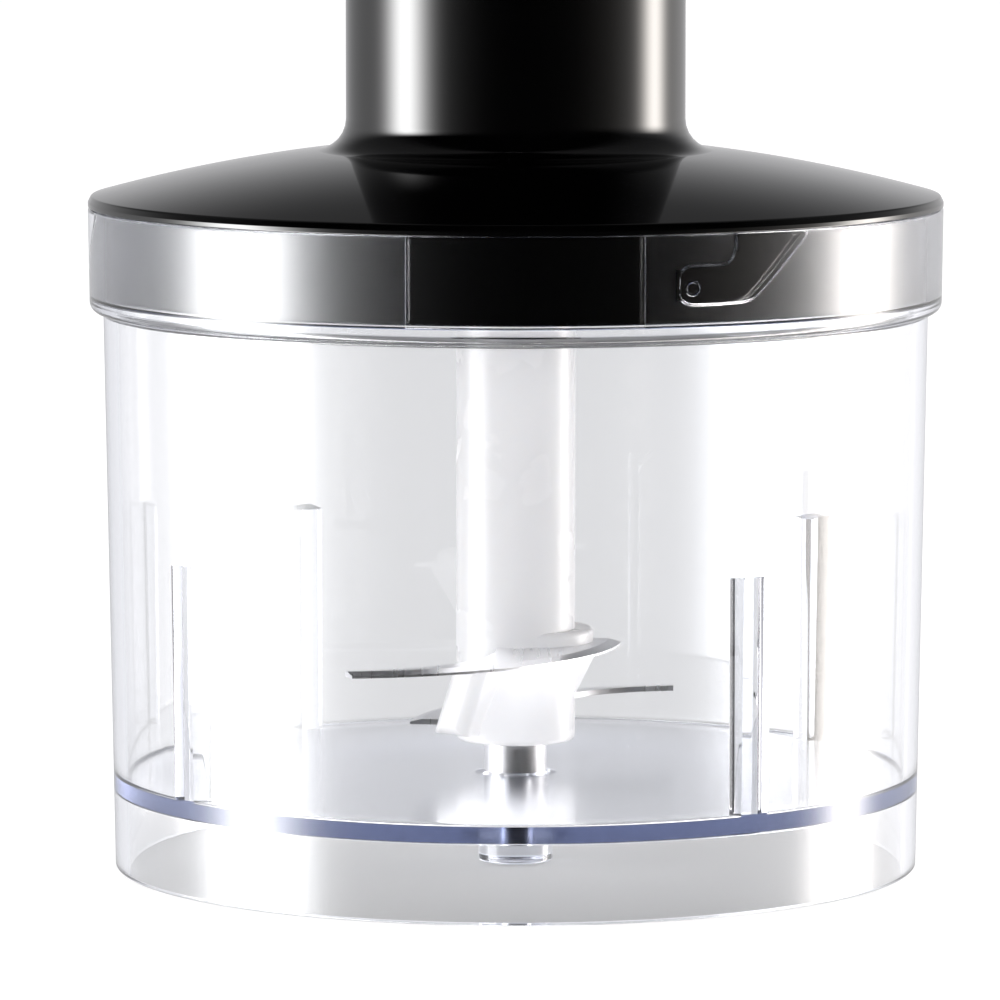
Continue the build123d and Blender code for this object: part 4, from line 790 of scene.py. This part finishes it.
dial_top = box_of("speed_dial")[1][2]
cap_top = box_of("top_cap")[1][2]
mark_turns = np.radians(np.linspace(FIRST_MARK, LAST_MARK, SPEED_MARKS))
ways = np.stack([np.cos(mark_turns), np.sin(mark_turns), np.zeros(SPEED_MARKS)], -1)
pointer_middle = ways[0] * (POINTER_IN + POINTER_OUT) / 2 + (0, 0, dial_top)
pointer_length = POINTER_OUT - POINTER_IN - 2 * POINTER_HALF
pointer = raised_bar(pointer_middle, ways[0], UP, pointer_length, POINTER_HALF)
make_marks("dial_pointer", [pointer], "speed_dial")
marks = [
    raised_bar(way * MARK_MIDDLE + (0, 0, cap_top), way, UP, MARK_LENGTH - 2 * half, half)
    for way, half in zip(ways, np.linspace(*MARK_HALF, SPEED_MARKS))
]
make_marks("speed_marks", marks, "motor_unit")

# %% Dots on the buttons
DOT_HALF, DOT_APART = 0.9, 3.6


def button_dots(node, count):
    """A row of dots across the middle of a button's face, which looks to the front."""
    low, high = box_of(node)
    middle = (low + high) / 2
    middle[1] = low[1]
    places = (np.arange(count) - (count - 1) / 2) * DOT_APART
    dots = [raised_bar(middle + (place, 0, 0), (1, 0, 0), (0, -1, 0), 0, DOT_HALF) for place in places]
    return make_marks(node.replace("button", "dots"), dots, node)


button_dots("power_button", 1)
button_dots("turbo_button", 2)

# %% [markdown]
# ## The studio
# The object stands in a white studio: a pale table, a bright wall behind, one large softbox on the left
# and a slim, slightly warm one on the right, and darkness around the camera. Gloss black shows all of
# that. Lamps could do it, but their edges would cut hard lines into the gloss. The world can hold
# soft-edged panels: its colour is a function of the direction, a base that goes from the wall behind to
# the dark side of the camera, plus a bell curve in the azimuth for each softbox.

# %% Helpers that work on directions
world = bpy.data.worlds.new("studio")
bpy.context.scene.world = world
world.use_nodes = True
sky = world.node_tree
sky.nodes.clear()


def give(socket, value):
    """Set a socket of the world's tree to a plain number, or link it to another socket."""
    if isinstance(value, (int, float)):
        socket.default_value = value
    else:
        sky.links.new(value, socket)


def sky_math(operation, *values):
    """One Math node on the world's tree, from sockets or plain numbers."""
    node = sky.nodes.new("ShaderNodeMath")
    node.operation = operation
    for socket, value in zip(node.inputs, values):
        give(socket, value)
    return node.outputs[0]


def sky_range(value, start, end, low=0.0, high=1.0):
    """Map a value from start..end to low..high with a smooth step; each of the four may be a socket."""
    node = sky.nodes.new("ShaderNodeMapRange")
    node.interpolation_type = "SMOOTHSTEP"
    titles = ("Value", "From Min", "From Max", "To Min", "To Max")
    for title, given_value in zip(titles, (value, start, end, low, high)):
        give(node.inputs[title], given_value)
    return node.outputs["Result"]


def blend(factor, without, with_it):
    """without + factor (with_it - without), for plain numbers and a factor socket."""
    return sky_math("MULTIPLY_ADD", factor, with_it - without, without)


def bell(middle_deg, width_deg):
    """exp(-(azimuth - middle)^2 / (2 width^2)), with the azimuth in radians from straight behind."""
    off = sky_math("SUBTRACT", azimuth, radians(middle_deg))
    square = sky_math("MULTIPLY", off, off)
    return sky_math("EXPONENT", sky_math("MULTIPLY", square, -0.5 / radians(width_deg) ** 2))


direction = sky.nodes.new("ShaderNodeTexCoord")
parts = sky.nodes.new("ShaderNodeSeparateXYZ")
sky.links.new(direction.outputs["Generated"], parts.inputs[0])
azimuth = sky_math("ARCTAN2", parts.outputs["X"], parts.outputs["Y"])
up = parts.outputs["Z"]
print("nodes for directions:", len(sky.nodes))

# %% [markdown]
# A photographer flags each light, so that a panel can be bright in the gloss of the neck without flooding
# the white hub. Light Path gives the same control: it tells whether a ray was mirrored, scattered by a
# matte surface or let through the plastic, and the world answers each with its own level. Mirrors see
# the softboxes, matte surfaces get an even light, mostly from the front, and the plastic shows the white
# wall.

# %% What kind of ray asks for light
rays = sky.nodes.new("ShaderNodeLightPath")
diffused = sky_math("MINIMUM", rays.outputs["Diffuse Depth"], 1.0)
not_diffused = sky_math("SUBTRACT", 1.0, diffused)
glossy = sky_math("MULTIPLY", sky_math("MINIMUM", rays.outputs["Glossy Depth"], 1.0), not_diffused)
through = sky_math("MULTIPLY", sky_math("MINIMUM", rays.outputs["Transmission Depth"], 1.0), not_diffused)
bounces = sky_math("MAXIMUM", rays.outputs["Glossy Depth"], 1.0)
print("kinds of rays: mirrored, diffused, let through")

# %% Softboxes
LEFT_BOX, LEFT_WIDTH, LEFT_SPILL, LEFT_TOP, LEFT_GLOW = -100.5, 10.3, (0.06, 22.0), (0.2, 0.45), 22.0
RIGHT_BOX, RIGHT_WIDTH, RIGHT_SPILL, RIGHT_TOP, RIGHT_GLOW = 73.0, 8.0, (0.07, 26.0), (0.02, 0.34), 13.5
BOX_THROUGH, BOX_PLAIN = 0.6, 3.1
LEFT_TONE, RIGHT_TONE = (1, 1, 1), (1.0, 0.95, 0.9)


def softbox(middle_deg, width_deg, spill, top, strength):
    """A panel's bell and its wider spill; mirrors see it up to its top, other rays see it plain."""
    spill_share, spill_width = spill
    spread = sky_math("MULTIPLY", bell(middle_deg, spill_width), spill_share)
    spread = sky_math("ADD", bell(middle_deg, width_deg), spread)
    in_mirror = sky_math("DIVIDE", sky_range(up, top[1], top[0], 0.0, strength), bounces)
    plain = blend(diffused, BOX_THROUGH, BOX_PLAIN)
    level = sky_math("MULTIPLY_ADD", glossy, sky_math("SUBTRACT", in_mirror, plain), plain)
    return sky_math("MULTIPLY", spread, level)


def colour_times(colour, factor):
    """A colour scaled by a number socket."""
    node = sky.nodes.new("ShaderNodeVectorMath")
    node.operation = "SCALE"
    node.inputs[0].default_value = colour
    sky.links.new(factor, node.inputs["Scale"])
    return node.outputs[0]


def colour_sum(first, second):
    """The sum of two colour sockets."""
    node = sky.nodes.new("ShaderNodeVectorMath")
    sky.links.new(first, node.inputs[0])
    sky.links.new(second, node.inputs[1])
    return node.outputs[0]


left = softbox(LEFT_BOX, LEFT_WIDTH, LEFT_SPILL, LEFT_TOP, LEFT_GLOW)
right = softbox(RIGHT_BOX, RIGHT_WIDTH, RIGHT_SPILL, RIGHT_TOP, RIGHT_GLOW)
light = colour_sum(colour_times(LEFT_TONE, left), colour_times(RIGHT_TONE, right))
print("softboxes at", LEFT_BOX, "and", RIGHT_BOX, "degrees from the wall behind")

# %% Wall behind, dark side in front, and white for the camera
WALL_LEVEL, WALL_THROUGH, WALL_PLAIN, WALL_TONE = 0.65, 1.02, 1.1, (1.0, 1.0, 1.02)
FRONT_LEVEL, FRONT_PLAIN = 0.01, 3.4
SIDE_START, SIDE_END = -0.45, 0.35
FADE_MIRRORED, FADE_PLAIN = (0.12, 0.5, 0.2), (0.08, 0.3, 0.05)

front = sky_math("MULTIPLY_ADD", diffused, FRONT_PLAIN, FRONT_LEVEL)
behind = blend(through, WALL_LEVEL, WALL_THROUGH)
behind = sky_math("MULTIPLY_ADD", diffused, WALL_PLAIN - WALL_LEVEL, behind)
base = sky_range(sky_math("COSINE", azimuth), SIDE_START, SIDE_END, front, behind)
fade_start, fade_end, fade_level = [blend(diffused, *pair) for pair in zip(FADE_MIRRORED, FADE_PLAIN)]
fade = sky_range(up, fade_start, fade_end, 1.0, fade_level)
light = colour_sum(light, colour_times(WALL_TONE, sky_math("MULTIPLY", base, fade)))

seen = sky.nodes.new("ShaderNodeMix")
seen.data_type = "RGBA"
seen.inputs["B"].default_value = (1, 1, 1, 1)
sky.links.new(rays.outputs["Is Camera Ray"], seen.inputs["Factor"])
sky.links.new(light, seen.inputs["A"])
background = sky.nodes.new("ShaderNodeBackground")
sky.links.new(seen.outputs["Result"], background.inputs["Color"])
world_out = sky.nodes.new("ShaderNodeOutputWorld")
sky.links.new(background.outputs[0], world_out.inputs["Surface"])
print("nodes in the studio:", len(sky.nodes))

# %% [markdown]
# The table is a wide pale sheet. Lit by the studio alone it would show grey, so a part of its white is
# emission, stronger for the camera than for the object. Under the bowl the emission is turned down in a
# circle round the foot, a painted shade in place of the shade a real table lies in there. Its diffuse part
# still takes the soft shadow of the object. Mirrored rays look past it, because the sheet's edge would draw a
# line across the gloss.

# %% The table's sheet
TABLE_LEFT, TABLE_RIGHT, TABLE_FRONT, TABLE_BACK, TABLE_LINES = -2.5, 2.5, -1.0, 4.0, 11
across = np.linspace(TABLE_LEFT, TABLE_RIGHT, TABLE_LINES)
back = np.linspace(TABLE_FRONT, TABLE_BACK, TABLE_LINES)
across, back = np.meshgrid(across, back)
sheet = np.stack([across, back, np.zeros_like(across)], -1).reshape(-1, 3)
sheet_faces = quads(TABLE_LINES, TABLE_LINES, wrap_columns=False)[:, ::-1]
table_mesh = bpy.data.meshes.new("table")
table_mesh.from_pydata(sheet.tolist(), [], sheet_faces.tolist())
table = bpy.data.objects.new("table", table_mesh)
bpy.context.scene.collection.objects.link(table)
table.visible_glossy = False
print("table faces:", len(table_mesh.polygons))

# %% The table's finish
TABLE_TONE, TABLE_DRIFT = 0.3, 0.985
PAINTED_SHADE_GLOW, GLOW_AWAY, GLOW_SEEN = 0.33, 0.59, 0.85
SHADE_START, SHADE_END = 0.06, 0.1

pale = finish("pale_table", [TABLE_TONE] * 3, [TABLE_TONE * TABLE_DRIFT] * 3, 3, smudges, (4, 0.7, 0.85))
table_mesh.materials.append(pale)
pale_nodes, wire = pale.node_tree.nodes, pale.node_tree.links.new
table_shader = pale_nodes["Principled BSDF"]
table_shader.inputs["Emission Color"].default_value = (1, 1, 1, 1)
table_rays = pale_nodes.new("ShaderNodeLightPath")

# Painted shade: within a circle round the bowl's foot the emission drops from the glow away from the bowl to
# a lower glow.
table_spot = pale_nodes.new("ShaderNodeTexCoord")
from_foot = pale_nodes.new("ShaderNodeVectorMath")
from_foot.operation = "LENGTH"
shade = pale_nodes.new("ShaderNodeMapRange")
shade.interpolation_type = "SMOOTHSTEP"
shade.inputs["From Min"].default_value = SHADE_START
shade.inputs["From Max"].default_value = SHADE_END
shade.inputs["To Min"].default_value = PAINTED_SHADE_GLOW
shade.inputs["To Max"].default_value = GLOW_AWAY
glow = pale_nodes.new("ShaderNodeMix")
glow.inputs["B"].default_value = GLOW_SEEN
wire(table_spot.outputs["Object"], from_foot.inputs[0])
wire(from_foot.outputs["Value"], shade.inputs["Value"])
wire(shade.outputs["Result"], glow.inputs["A"])
wire(table_rays.outputs["Is Camera Ray"], glow.inputs["Factor"])
wire(glow.outputs["Result"], table_shader.inputs["Emission Strength"])

past = pale_nodes.new("ShaderNodeMixShader")
clear_way = pale_nodes.new("ShaderNodeBsdfTransparent")
wire(table_rays.outputs["Glossy Depth"], past.inputs["Fac"])
wire(table_shader.outputs["BSDF"], past.inputs[1])
wire(clear_way.outputs["BSDF"], past.inputs[2])
wire(past.outputs["Shader"], pale_nodes["Material Output"].inputs["Surface"])
print("the table's glow under the bowl, away from it and in the camera:", PAINTED_SHADE_GLOW, GLOW_AWAY, GLOW_SEEN)


# %% [markdown]
# Two soft lamps add what the world leaves out: a weak fill from above and in front, and a light from
# behind and above that lifts the lid's edge. A sun lamp would light every piece from one side. Area
# lamps keep the shadows soft, and they stay out of the reflections.

# %% Lamps
def soft_lamp(name, place, aim, size, power):
    """An area lamp at a place, turned so that its light goes to the aim."""
    lamp = bpy.data.lights.new(name, "AREA")
    lamp.shape = "RECTANGLE"
    lamp.size, lamp.size_y = size
    lamp.energy = power
    holder = bpy.data.objects.new(name, lamp)
    bpy.context.scene.collection.objects.link(holder)
    holder.location = place
    x, y, z = np.array(aim) - np.array(place)
    holder.rotation_euler = (np.arctan2(np.hypot(x, y), -z), 0, np.arctan2(-x, y))
    holder.visible_glossy = False
    print("lamp", name, "watts:", power)


LAMP_AIM = (0, 0, 0.1)
soft_lamp("front_fill", (-0.35, -1.1, 0.9), LAMP_AIM, (0.9, 0.6), 1.0)
soft_lamp("top_back", (0.2, 0.7, 1.2), LAMP_AIM, (0.8, 0.8), 8.0)

# %% [markdown]
# ## The camera
# The picture looks slightly down from the front with a long lens, and its top edge crops the neck. A
# short lens close by would make the bowl bulge. The numbers come from matching the ellipses of collar and
# foot. Clear plastic needs many bounces, or its edges would turn black.

# %% Camera
CAMERA_BACK, CAMERA_UP, CAMERA_SIDE, CAMERA_TILT = 1.1355, 0.1786, -0.00231, 6.26
CAMERA_LENS, CAMERA_SENSOR, CAMERA_FAR = 277.8, 36.0, 50.0
BOUNCES, MIRROR_BOUNCES = 24, 12

camera_data = bpy.data.cameras.new("camera")
camera_data.sensor_width = CAMERA_SENSOR
camera_data.lens = CAMERA_LENS
camera_data.clip_end = CAMERA_FAR
camera = bpy.data.objects.new("camera", camera_data)
bpy.context.scene.collection.objects.link(camera)
camera.location = (CAMERA_SIDE, -CAMERA_BACK, CAMERA_UP)
camera.rotation_euler = (radians(90 - CAMERA_TILT), 0, 0)
bpy.context.scene.camera = camera
bpy.context.scene.view_settings.view_transform = "Standard"
bpy.context.scene.cycles.max_bounces = BOUNCES
bpy.context.scene.cycles.transmission_bounces = BOUNCES
bpy.context.scene.cycles.glossy_bounces = MIRROR_BOUNCES
bpy.context.scene.cycles.blur_glossy = 0.0
print("the camera looks down by", CAMERA_TILT, "degrees through a lens of", CAMERA_LENS, "mm")
